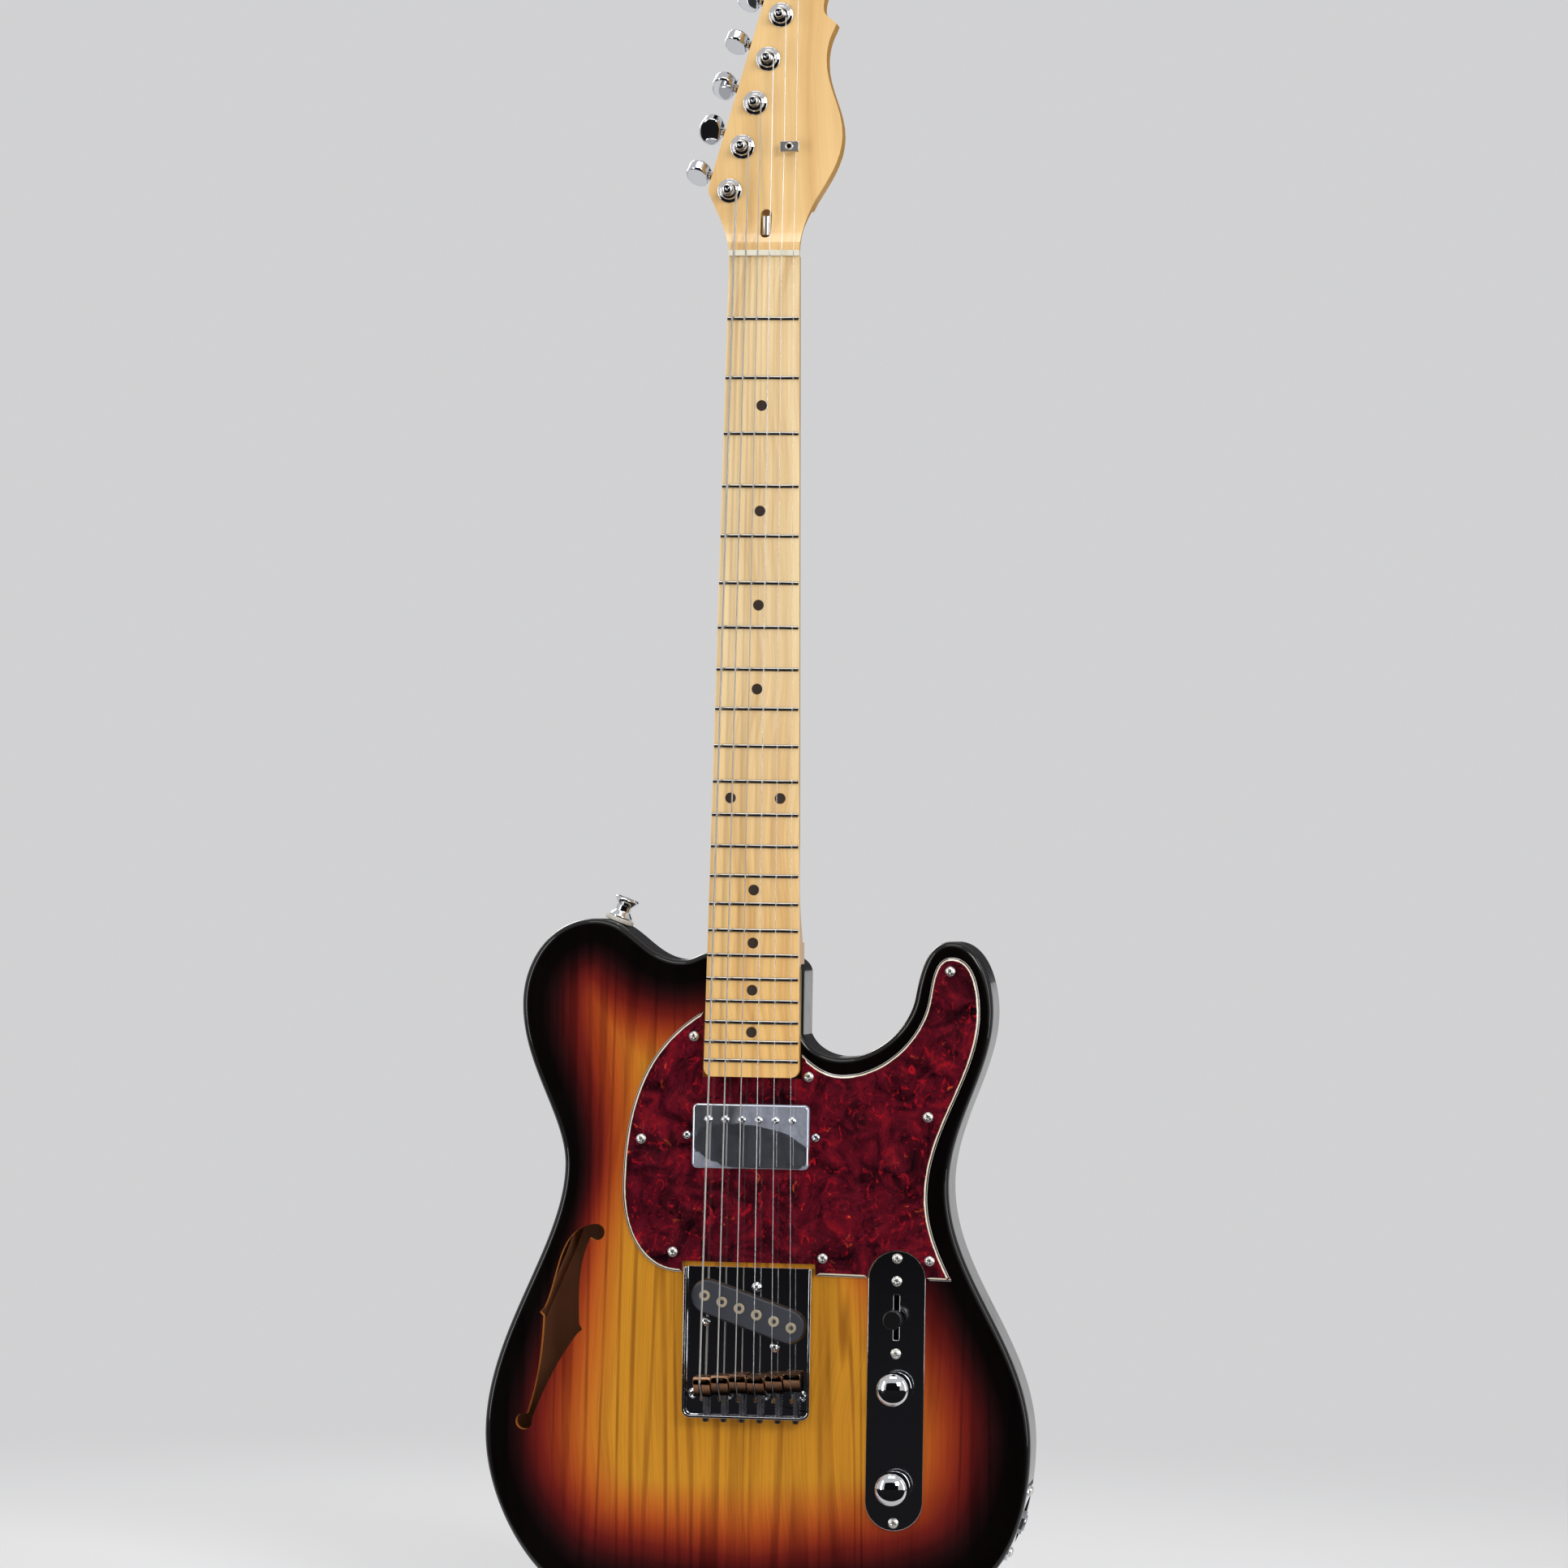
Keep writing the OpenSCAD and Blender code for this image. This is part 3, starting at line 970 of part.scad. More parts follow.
module jack_socket() color("#b9bbc0") at_rim(jack_p, jack_rot) difference() {
    union() {
        axle(-jack_flat - 9, jack_face + 3.2, 9.4);
        translate([jack_face, 0, 0]) rotate([0, 90, 0]) cylinder(h = 2.4, d = 14, $fn = 6);
        axle(-jack_flat - 3, -jack_flat, 15);
        translate([-jack_flat - 30, 4.8, -3]) cube([27.5, 1, 6]);
        translate([-jack_flat - 22, -6, -3]) cube([19.5, 1, 6]);
    }
    axle(-jack_flat + 0.2, jack_face + 4, jack_bore);
    axle(-jack_flat - 12, -jack_flat + 0.3, jack_bore + 0.8);
}

// Strap buttons on felt, inner leads and the tone capacitor
felt_t = 2.5;
felt_seat = 0.15;
strap_screw_d = 4;
strap_head_d = 8.6;
button_h = 12;
module strap_at() {
    at_rim(strap_p, strap_rot) translate([felt_seat, 0, 0]) children();
    at_rim([4, -tail_z], 90) translate([felt_seat, 0, 0]) children();
}
module strap_buttons() color("#d5d7db") strap_at() translate([felt_t, 0, 0]) rotate([0, 90, 0])
    difference() {
        rotate_extrude() polygon([[0, 0], [6.8, 0], [6.8, 1], [4.4, 4], [4.2, button_h - 4.5],
            [6.6, button_h - 2], [7.2, button_h - 1], [6.6, button_h], [0, button_h]]);
        translate([0, 0, -1]) cylinder(h = button_h + 2, d = strap_screw_d + 0.4);
        translate([0, 0, button_h - 2.4]) cylinder(h = 2.6, d1 = strap_screw_d, d2 = strap_head_d + 1.8);
    }
module strap_washers() color("#ece8de") strap_at() difference() {
    axle(0, felt_t, 17);
    axle(-1, felt_t + 1, strap_screw_d + 0.8);
}
module strap_screws() color("#b9bbc0") strap_at() {
    axle(-28, felt_t + button_h - 2, strap_screw_d);
    translate([felt_t + button_h - 2, 0, 0]) rotate([0, 90, 0])
        cylinder(h = 1.8, d1 = strap_screw_d, d2 = strap_head_d);
}
module wiring() color("#d9d6c8") at_body() {
    y = top_y + 20;
    over = top_y + 25;
    block = top_y + 22.75;
    back = top_y + 9.7;
    wire([[20, base_y + 0.6, cover_z], [20, y, cover_z], [ctrl_x - 4, y, switch_z + 22],
        [ctrl_x - 1, over, switch_z + 19], [ctrl_x + 4, block, switch_z + 12]], 1.2);
    wire([[10, bpu_y + bpu_d + 0.6, bpu_z], [14, y - 2, bpu_z], [ctrl_x - 9, y - 2, switch_z - 5.2],
        [ctrl_x - 6, over, switch_z - 8], [ctrl_x + 4, block, switch_z - 12]], 1.2);
    wire([[ctrl_x + 6, block, switch_z - 14], [ctrl_x + 6, over - 1, 12],
        [ctrl_x + 4, back, knob_z[0]]], 1.2);
    wire([[ctrl_x - 6, back, knob_z[0]], [ctrl_x - 6, back + 4.3, knob_z[0] - 20],
        [ctrl_x - 6, back + 4.3, knob_z[1] + 20], [ctrl_x - 6, back, knob_z[1]]], 1.2);
}
module tone_capacitor() color("#c06a2a") at_body()
    translate([ctrl_x, top_y + 9.2 + 4, knob_z[1] + 3]) union() {
        cylinder(h = 15, d = 8, center = true);
        cylinder(h = 26, d = 0.8, center = true);
    }

body_core();
body_top();
neck();
fingerboard();
frets();
nut();
position_dots();
truss_rod();
neck_plate();
neck_bolts();
string_tree();
head_screws();
tuner_housings();
tuner_bushings();
tuner_key_1();
tuner_key_2();
tuner_key_3();
tuner_key_4();
tuner_key_5();
tuner_key_6();
tuner_post_1();
tuner_post_2();
tuner_post_3();
tuner_post_4();
tuner_post_5();
tuner_post_6();
strings();
string_ferrules();
pickguard();
plate_screws();
neck_pickup_cover();
neck_pickup_base();
neck_pickup_coils();
pickup_magnets();
neck_pickup_poles();
pickup_screws();
pickup_sleeves();
bridge_plate();
bridge_screws();
saddles();
saddle_height_screws();
intonation_screws();
intonation_springs();
bridge_pickup_cover();
bridge_pickup_coil();
bridge_pickup_poles();
control_plate();
volume_knob();
tone_knob();
potentiometers();
selector_switch();
switch_lever();
switch_tip();
jack_plate();
jack_socket();
strap_buttons();
strap_washers();
strap_screws();
wiring();
tone_capacitor();
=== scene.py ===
"""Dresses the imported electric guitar: lacquered ash, maple, chrome and wire over the CAD frame."""

import logging
import math
from dataclasses import dataclass, field
from enum import Enum
from typing import Any, Iterable, Sequence

import bmesh
import bpy
import numpy as np
from mathutils import Matrix, Vector
from mathutils.geometry import delaunay_2d_cdt


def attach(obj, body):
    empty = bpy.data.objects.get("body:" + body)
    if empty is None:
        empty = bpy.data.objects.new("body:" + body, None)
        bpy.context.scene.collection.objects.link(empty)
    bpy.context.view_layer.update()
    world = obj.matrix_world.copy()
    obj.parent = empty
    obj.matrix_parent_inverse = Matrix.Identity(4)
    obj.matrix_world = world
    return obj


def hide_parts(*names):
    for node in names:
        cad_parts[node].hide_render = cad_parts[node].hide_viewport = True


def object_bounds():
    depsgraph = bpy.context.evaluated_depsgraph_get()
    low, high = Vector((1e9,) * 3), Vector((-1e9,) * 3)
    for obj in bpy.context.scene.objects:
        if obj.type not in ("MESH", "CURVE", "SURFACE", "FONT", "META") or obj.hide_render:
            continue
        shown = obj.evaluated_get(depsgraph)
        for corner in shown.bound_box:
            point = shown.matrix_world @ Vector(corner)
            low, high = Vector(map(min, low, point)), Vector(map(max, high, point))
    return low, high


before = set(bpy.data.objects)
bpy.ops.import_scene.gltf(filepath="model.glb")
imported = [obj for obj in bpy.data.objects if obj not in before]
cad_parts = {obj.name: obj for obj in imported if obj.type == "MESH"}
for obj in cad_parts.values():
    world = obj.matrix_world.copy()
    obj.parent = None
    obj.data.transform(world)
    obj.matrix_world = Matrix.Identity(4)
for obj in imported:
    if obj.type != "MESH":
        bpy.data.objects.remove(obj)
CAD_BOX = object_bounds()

LOG = logging.getLogger("guitar")
MM = 0.001  # a millimetre in the frame's metres
SCALE = 648.0  # nut to saddle line, in millimetres
ROOT = "guitar"  # the body that fixed pieces ride on
STRIPES = (-5, -3, -1, 1, 3, 5)  # the strings across, in tenths of their spread
WOUND = 3  # how many of the strings, from the thickest, are wound
FRONT = Vector((0.0, -1.0, 0.0)).freeze()
UP = Vector((0.0, 0.0, 1.0)).freeze()

Pair = tuple[float, float]
Plan = list[Pair]
Profile = Sequence[Pair]
Knot = tuple[float, float, float, float]
Triple = Colour = tuple[float, float, float]
Obj, Mesh, Material = bpy.types.Object, bpy.types.Mesh, bpy.types.Material
Tree, Node, Socket = bpy.types.NodeTree, bpy.types.Node, bpy.types.NodeSocket

FINISH: dict[str, Material] = {}
GROUPS: dict[str, Tree] = {}
TREES: dict[str, Tree] = {}


class Slot(Enum):
    """Material slots of the record, listed beside the finish of each eased piece."""

    LACQUER = "dark_lacquer"
    SUNBURST = "sunburst"
    MAPLE = "maple"
    BOARD = "board_maple"
    FRET = "fret_silver"
    BONE = "bone"
    BLACK = "black_plastic"
    STEEL = "steel"
    CHROME = "chrome"
    STRING = "string_steel"
    TORTOISE = "tortoise"
    COVER = "pickup_silver"
    BRASS = "saddle_brass"
    FELT = "felt"


class TreeKind(Enum):
    """Kinds of node group."""

    SHADER = "ShaderNodeTree"
    GEOMETRY = "GeometryNodeTree"


def srgb(r: int, g: int, b: int) -> Colour:
    """Turns a screen colour into linear light.

    Args:
        r: Red, 0 to 255.
        g: Green, 0 to 255.
        b: Blue, 0 to 255.

    Returns:
        The linear colour.
    """
    shares = [v / 255 for v in (r, g, b)]
    return tuple(c / 12.92 if c <= 0.04045 else ((c + 0.055) / 1.055) ** 2.4 for c in shares)


def span(a: Knot, b: Knot, t: float) -> Pair:
    """Gives a point on the smooth span between two knots.

    Args:
        a: First knot as x, z, heading in degrees and reach.
        b: Second knot.
        t: Place on the span, 0 to 1.

    Returns:
        The point's x and z.
    """
    d = math.hypot(b[0] - a[0], b[1] - a[1])

    def handle(knot: Knot, way: int) -> Pair:
        """Gives the handle after a knot, or before it."""
        turn, reach = math.radians(knot[2]), way * knot[3] * d
        return knot[0] + math.cos(turn) * reach, knot[1] + math.sin(turn) * reach

    weights = ((1 - t) ** 3, 3 * (1 - t) ** 2 * t, 3 * (1 - t) * t * t, t ** 3)
    spots = (a, handle(a, 1), handle(b, -1), b)
    return tuple(sum(w * p[axis] for w, p in zip(weights, spots)) for axis in (0, 1))


def run(knots: Sequence[Knot], n: int) -> Plan:
    """Joins knots into one line of points, n to a span, leaving out the last knot."""
    return [span(a, b, j / n) for a, b in zip(knots, knots[1:]) for j in range(n)]


def from_nut(points: Iterable[Pair]) -> Plan:
    """Moves points from the saddle line's z to the nut's."""
    return [(x, z - SCALE) for x, z in points]


def inset(plan: Plan, d: float) -> Plan:
    """Moves a closed outline inwards.

    Args:
        plan: The outline, counter-clockwise.
        d: Distance to move.

    Returns:
        The new outline.
    """
    p = np.array(plan)
    e = np.roll(p, -1, 0) - np.roll(p, 1, 0)
    e /= np.linalg.norm(e, axis=1)[:, None]
    q = p + d * np.stack([-e[:, 1], e[:, 0]], 1)
    return [(float(x), float(z)) for x, z in q]


def oval(cx: float, cz: float, length: float, width: float, turn: float = 0.0, n: int = 20) -> Plan:
    """Draws a slot with round ends.

    Args:
        cx: Centre x.
        cz: Centre z.
        length: Length over both ends.
        width: Width.
        turn: Angle in degrees.
        n: Steps round each end.

    Returns:
        The outline, counter-clockwise.
    """
    h = (length - width) / 2
    pts = [(side * h + width / 2 * math.cos(a), width / 2 * math.sin(a)) for side, start in ((1, -90), (-1, 90))
           for a in [math.radians(start + 180 * k / n) for k in range(n + 1)]]
    c, s = math.cos(math.radians(turn)), math.sin(math.radians(turn))
    return [(cx + c * x - s * z, cz + s * x + c * z) for x, z in pts]


def rounded(cx: float, cz: float, w: float, h: float, r: float, n: int = 8) -> Plan:
    """Draws a rectangle with round corners.

    Args:
        cx: Centre x.
        cz: Centre z.
        w: Width.
        h: Height.
        r: Corner radius.
        n: Steps round each corner.

    Returns:
        The outline, counter-clockwise.
    """
    corners = ((1, -1, -90), (1, 1, 0), (-1, 1, 90), (-1, -1, 180))
    return [(cx + sx * (w / 2 - r) + r * math.cos(a), cz + sz * (h / 2 - r) + r * math.sin(a))
            for sx, sz, start in corners for a in [math.radians(start + 90 * k / n) for k in range(n + 1)]]


def inside(points: np.ndarray, plan: Plan) -> np.ndarray:
    """Tests which points lie inside an outline.

    Args:
        points: Rows of x and z.
        plan: The outline.

    Returns:
        One truth value for each point.
    """
    p = np.array(plan)
    q = np.roll(p, -1, 0)
    x, z = points[:, :1], points[:, 1:]
    cross = (p[:, 1] > z) != (q[:, 1] > z)
    with np.errstate(divide="ignore", invalid="ignore"):
        at = (q[:, 0] - p[:, 0]) * (z - p[:, 1]) / (q[:, 1] - p[:, 1]) + p[:, 0]
    return np.count_nonzero(cross & (x < at), axis=1) % 2 == 1


def distance_to(points: np.ndarray, plan: Plan) -> np.ndarray:
    """Measures how far points lie from an outline.

    Args:
        points: Rows of x and z.
        plan: The closed outline.

    Returns:
        The distances.
    """
    p = np.array(plan)
    d = np.roll(p, -1, 0) - p
    out = np.full(len(points), 1e9)
    for a, e in zip(p, d):
        t = np.clip(((points - a) @ e) / max(e @ e, 1e-12), 0, 1)
        out = np.minimum(out, np.linalg.norm(points - a - t[:, None] * e, axis=1))
    return out


def grid_in(outer: Plan, holes: Sequence[Plan], step: float) -> Plan:
    """Gives evenly spread points inside an outline, clear of its edge and its holes' edges.

    Args:
        outer: The outline.
        holes: Outlines of the holes.
        step: Spacing of the points.

    Returns:
        The points.
    """
    low, high = np.min(outer, axis=0), np.max(outer, axis=0)
    gx, gz = np.meshgrid(np.arange(low[0], high[0], step), np.arange(low[1], high[1], step))
    grid = np.stack([gx.ravel() + (np.round(gz.ravel() / step) % 2) * step / 2, gz.ravel()], 1)
    keep = inside(grid, outer)
    for loop in (outer, *holes):
        keep &= distance_to(grid, loop) > step * 0.45
    return [(float(x), float(z)) for x, z in grid[keep]]


@dataclass
class Draft:
    """A mesh in the making, in millimetres."""

    verts: list[Vector] = field(default_factory=list)  # points made so far
    faces: list[tuple[int, ...]] = field(default_factory=list)  # faces made so far
    mats: list[int] = field(default_factory=list)  # material number of each face
    ply: list[float] = field(default_factory=list)  # edge value of each point, for layered sheet

    def ring(self, points: Iterable[Sequence[float]], ply: float = 0.0) -> list[int]:
        """Adds points and gives their numbers.

        Args:
            points: The points.
            ply: Edge value of these points.

        Returns:
            Their numbers.
        """
        start = len(self.verts)
        self.verts += [Vector(p) for p in points]
        self.ply += [ply] * (len(self.verts) - start)
        return list(range(start, len(self.verts)))

    def level(self, plan: Plan, y: float, ply: float = 0.0) -> list[int]:
        """Adds a plan outline at one depth."""
        return self.ring([(x, y, z) for x, z in plan], ply)

    def face(self, ids: Iterable[int], mat: int = 0) -> None:
        """Adds a face, unless its points fall together.

        Args:
            ids: Numbers of its points.
            mat: Material number.
        """
        apart = tuple(dict.fromkeys(ids))
        if len(apart) > 2:
            self.faces.append(apart)
            self.mats.append(mat)

    def skin(self, rings: Sequence[Sequence[int]], mat: int = 0) -> None:
        """Joins rings of equal length, each to the next.

        Args:
            rings: The rings in order.
            mat: Material number.
        """
        for a, b in zip(rings, rings[1:]):
            for i in range(len(a)):
                j = (i + 1) % len(a)
                self.face((a[i], a[j], b[j], b[i]), mat)

    def fill(self, outer: Plan, holes: Sequence[Plan], y: float, mat: int = 0,
             step: float = 0.0) -> list[tuple[int, int]]:
        """Fills a flat outline with triangles, leaving holes open.

        Args:
            outer: The outline.
            holes: Outlines left open, which may overlap each other.
            y: Depth of the face.
            mat: Material number.
            step: Spacing of points inside the face, or 0 for none.

        Returns:
            The edges round the holes.
        """
        pts: Plan = []
        edges: list[tuple[int, int]] = []
        for loop in (outer, *holes):
            edges += [(len(pts) + i, len(pts) + (i + 1) % len(loop)) for i in range(len(loop))]
            pts += loop
        if step:
            pts += grid_in(outer, holes, step)
        out = delaunay_2d_cdt([Vector(p) for p in pts], edges, [], 0, 1e-5)
        flat = np.array([tuple(v) for v in out[0]])
        tris = np.array([f for f in out[2] if len(f) == 3])
        mid = flat[tris].mean(axis=1)
        keep = inside(mid, outer)
        for hole in holes:
            keep &= ~inside(mid, hole)
        ids = self.ring([(x, y, z) for x, z in flat])
        seen: dict[tuple[int, int], int] = {}
        for t in tris[keep]:
            f = [ids[i] for i in t]
            self.face(f, mat)
            for i in range(3):
                e = tuple(sorted((f[i], f[(i + 1) % 3])))
                seen[e] = seen.get(e, 0) + 1
        rim = [e for e, n in seen.items() if n == 1]
        ends = np.array([[(self.verts[i] + self.verts[j])[axis] / 2 for axis in (0, 2)] for i, j in rim])
        return [e for e, d in zip(rim, distance_to(ends, outer)) if d > 0.02]

    def walls(self, edges: Sequence[tuple[int, int]], y: float, mat: int = 0) -> None:
        """Drops a wall from loose edges to another depth.

        Args:
            edges: The edges.
            y: Depth of the wall's far end.
            mat: Material number.
        """
        for i, j in edges:
            a, b = self.verts[i], self.verts[j]
            self.face((i, j, *self.ring([(b.x, y, b.z), (a.x, y, a.z)])), mat)

    def rim(self, plan: Plan, edge: float, y: float, far_y: float, step: int = 15) -> None:
        """Adds a side with a rounded edge, which starts at the outline of the face.

        Args:
            plan: Outline of the side.
            edge: Radius of the edge.
            y: Depth of the face.
            far_y: Depth of the side's far end.
            step: Degrees from ring to ring.
        """
        drop = math.copysign(edge, far_y - y)
        turns = [math.radians(a) for a in range(90, -1, -step)]
        rings = [self.level(inset(plan, edge * (1 - math.cos(a))), y + drop * (1 - math.sin(a))) for a in turns]
        self.skin([*rings, self.level(plan, far_y)])

    def block(self, plan: Plan, edge: float, y: float, far_y: float, step: int = 15, grid: float = 0.0) -> None:
        """Adds a closed block with a rounded front edge.

        Args:
            plan: Outline of the block.
            edge: Radius of the edge.
            y: Depth of its face.
            far_y: Depth of its back.
            step: Degrees from ring to ring of the edge.
            grid: Spacing of points inside the face, or 0 for none.
        """
        self.rim(plan, edge, y, far_y, step)
        self.fill(inset(plan, edge), [], y, step=grid)
        self.fill(plan, [], far_y)

    def lathe(self, profile: Profile, at: Vector, axis: Vector, n: int = 48, ribs: int = 0,
              ribbed: float = 1e9, groove: float = 0.12) -> None:
        """Turns a profile round an axis, with fine ribs cut where it is widest.

        Args:
            profile: Radius and height of each point.
            at: Foot of the axis.
            axis: Direction of height.
            n: Points round.
            ribs: Ribs round.
            ribbed: Radius from which the ribs are cut.
            groove: Half the depth between ribs.
        """
        u = axis.orthogonal().normalized()
        v = axis.normalized().cross(u)
        turns = [2 * math.pi * k / n for k in range(n)]
        rings = []
        for r, h in profile:
            base = at + axis.normalized() * h
            cut = [groove * (1 - math.cos(ribs * t)) if r >= ribbed else 0.0 for t in turns]
            rings.append(self.ring([base]) * n if r < 1e-6 else self.ring(
                [base + (r - c) * (math.cos(t) * u + math.sin(t) * v) for t, c in zip(turns, cut)]))
        self.skin(rings)

    def tube(self, path: Sequence[Vector], radius: float, sides: int = 10, mat: int = 0) -> None:
        """Sweeps a round wire along a path.

        Args:
            path: The path's points.
            radius: Wire radius.
            sides: Points round the wire.
            mat: Material number.
        """
        rings, u = [], None
        turns = [2 * math.pi * k / sides for k in range(sides)]
        for i, p in enumerate(path):
            a = (p - path[i - 1]).normalized() if i else (path[1] - p).normalized()
            b = (path[i + 1] - p).normalized() if i < len(path) - 1 else a
            t = (a + b).normalized()
            u = t.orthogonal().normalized() if u is None else (u - t * u.dot(t)).normalized()
            v = t.cross(u)
            rings.append(self.ring([p + radius * (math.cos(k) * u + math.sin(k) * v) for k in turns]))
        self.skin(rings, mat)
        self.face(rings[0][::-1], mat)
        self.face(rings[-1], mat)

    def build(self, name: str, finishes: Sequence[str], angle: float = 35.0) -> Obj:
        """Makes the object, welded, facing outwards and smooth.

        Args:
            name: Name of the piece.
            finishes: Names of its finishes.
            angle: Edges sharper than this stay crisp, in degrees.

        Returns:
            The object.
        """
        mesh = bpy.data.meshes.new(name)
        mesh.from_pydata([v * MM for v in self.verts], [], self.faces)
        mesh.polygons.foreach_set("material_index", self.mats)
        if any(self.ply):
            store(mesh, "ply", self.ply)
        weld(mesh)
        return settle(name, mesh, finishes, angle)


def store(mesh: Mesh, name: str, values: Sequence[float]) -> None:
    """Stores one value on each point of a mesh."""
    mesh.attributes.new(name, "FLOAT", "POINT").data.foreach_set("value", np.asarray(values, np.float32))


def show(name: str, data: Any) -> Obj:
    """Puts a mesh, a lamp or a camera into the scene.

    Args:
        name: Name of the object.
        data: What it holds.

    Returns:
        The object.
    """
    obj = bpy.data.objects.new(name, data)
    bpy.context.scene.collection.objects.link(obj)
    return obj


def weld(mesh: Mesh, turn_out: bool = True) -> None:
    """Merges double points, drops loose ones and turns faces outwards.

    Args:
        mesh: The mesh to change.
        turn_out: Whether to recalculate which way faces look.
    """
    bm = bmesh.new()
    bm.from_mesh(mesh)
    bmesh.ops.remove_doubles(bm, verts=bm.verts, dist=2e-6)
    bmesh.ops.delete(bm, geom=[v for v in bm.verts if not v.link_faces], context="VERTS")
    if turn_out:
        bmesh.ops.recalc_face_normals(bm, faces=bm.faces)
    bm.to_mesh(mesh)
    bm.free()


def baked(obj: Obj) -> Mesh:
    """Gives the mesh that an object's modifiers make."""
    deps = bpy.context.evaluated_depsgraph_get()
    return bpy.data.meshes.new_from_object(obj.evaluated_get(deps), preserve_all_data_layers=True, depsgraph=deps)


def harden(obj: Obj) -> None:
    """Gives an object the mesh that its modifiers make, and drops them.

    Args:
        obj: The object.
    """
    done = baked(obj)
    obj.modifiers.clear()
    obj.data = done
    done.name = obj.name


def settle(name: str, mesh: Mesh, finishes: Sequence[str], angle: float) -> Obj:
    """Puts a mesh into an object with smooth shading that keeps flats flat.

    Args:
        name: Name of the piece.
        mesh: Its mesh.
        finishes: Names of its finishes.
        angle: Edges sharper than this stay crisp, in degrees.

    Returns:
        The object.
    """
    marks = [min(f.material_index, len(finishes) - 1) for f in mesh.polygons]
    mesh.materials.clear()
    for finish in finishes:
        mesh.materials.append(FINISH[finish])
    mesh.polygons.foreach_set("material_index", marks)
    mesh.shade_smooth()
    mesh.set_sharp_from_angle(angle=math.radians(angle))
    obj = show(name, mesh)
    obj.modifiers.new("even", "WEIGHTED_NORMAL").keep_sharp = True
    harden(obj)
    return obj


def place(obj: Obj, node: str, body: str = ROOT) -> None:
    """Hangs a piece on its body and hides the CAD node it stands for.

    Args:
        obj: The piece.
        node: CAD node that it replaces.
        body: Body that it moves with.
    """
    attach(obj, body)
    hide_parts(node)
    LOG.info("%s rides %s, %d faces", obj.name, body, len(obj.data.polygons))


def soft_copy(node: str, name: str, finish: str, bevel: float = 0.0, angle: float = 30.0) -> Obj:
    """Copies a CAD node's mesh, eases its edges and smooths its curves.

    Args:
        node: The CAD node.
        name: Name of the piece.
        finish: Name of its finish.
        bevel: Width of the eased edges in millimetres.
        angle: Edges sharper than this are eased, in degrees.

    Returns:
        The piece, not yet placed.
    """
    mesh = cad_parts[node].data.copy()
    while mesh.attributes.get("custom_normal"):
        mesh.attributes.remove(mesh.attributes["custom_normal"])
    weld(mesh, turn_out=False)
    if bevel:
        bm = bmesh.new()
        bm.from_mesh(mesh)
        bmesh.ops.dissolve_limit(bm, angle_limit=math.radians(1.0), verts=bm.verts, edges=bm.edges)
        bm.to_mesh(mesh)
        bm.free()
        rough = show(name, mesh)
        ease = rough.modifiers.new("ease", "BEVEL")
        ease.limit_method = "ANGLE"
        ease.angle_limit = math.radians(angle)
        ease.width = bevel * MM
        ease.segments = 3
        ease.miter_outer = "MITER_ARC"
        ease.use_clamp_overlap = False
        mesh = baked(rough)
        bpy.data.objects.remove(rough)
    return settle(name, mesh, [finish], max(angle, 40.0))


@dataclass(frozen=True)
class Eased:
    """A piece that is its CAD node with eased edges."""

    node: str  # the CAD node that it replaces
    name: str  # name of the piece
    finish: str  # name of its finish
    slot: Slot  # material slot of the record; not used
    bevel: float = 0.0  # width of the eased edges in millimetres
    angle: float = 30.0  # edges sharper than this are eased, in degrees
    body: str = ROOT  # body that it moves with

    def build(self) -> None:
        """Makes and places the piece."""
        piece = soft_copy(self.node, self.name, self.finish, self.bevel, self.angle)
        place(piece, self.node, self.body)


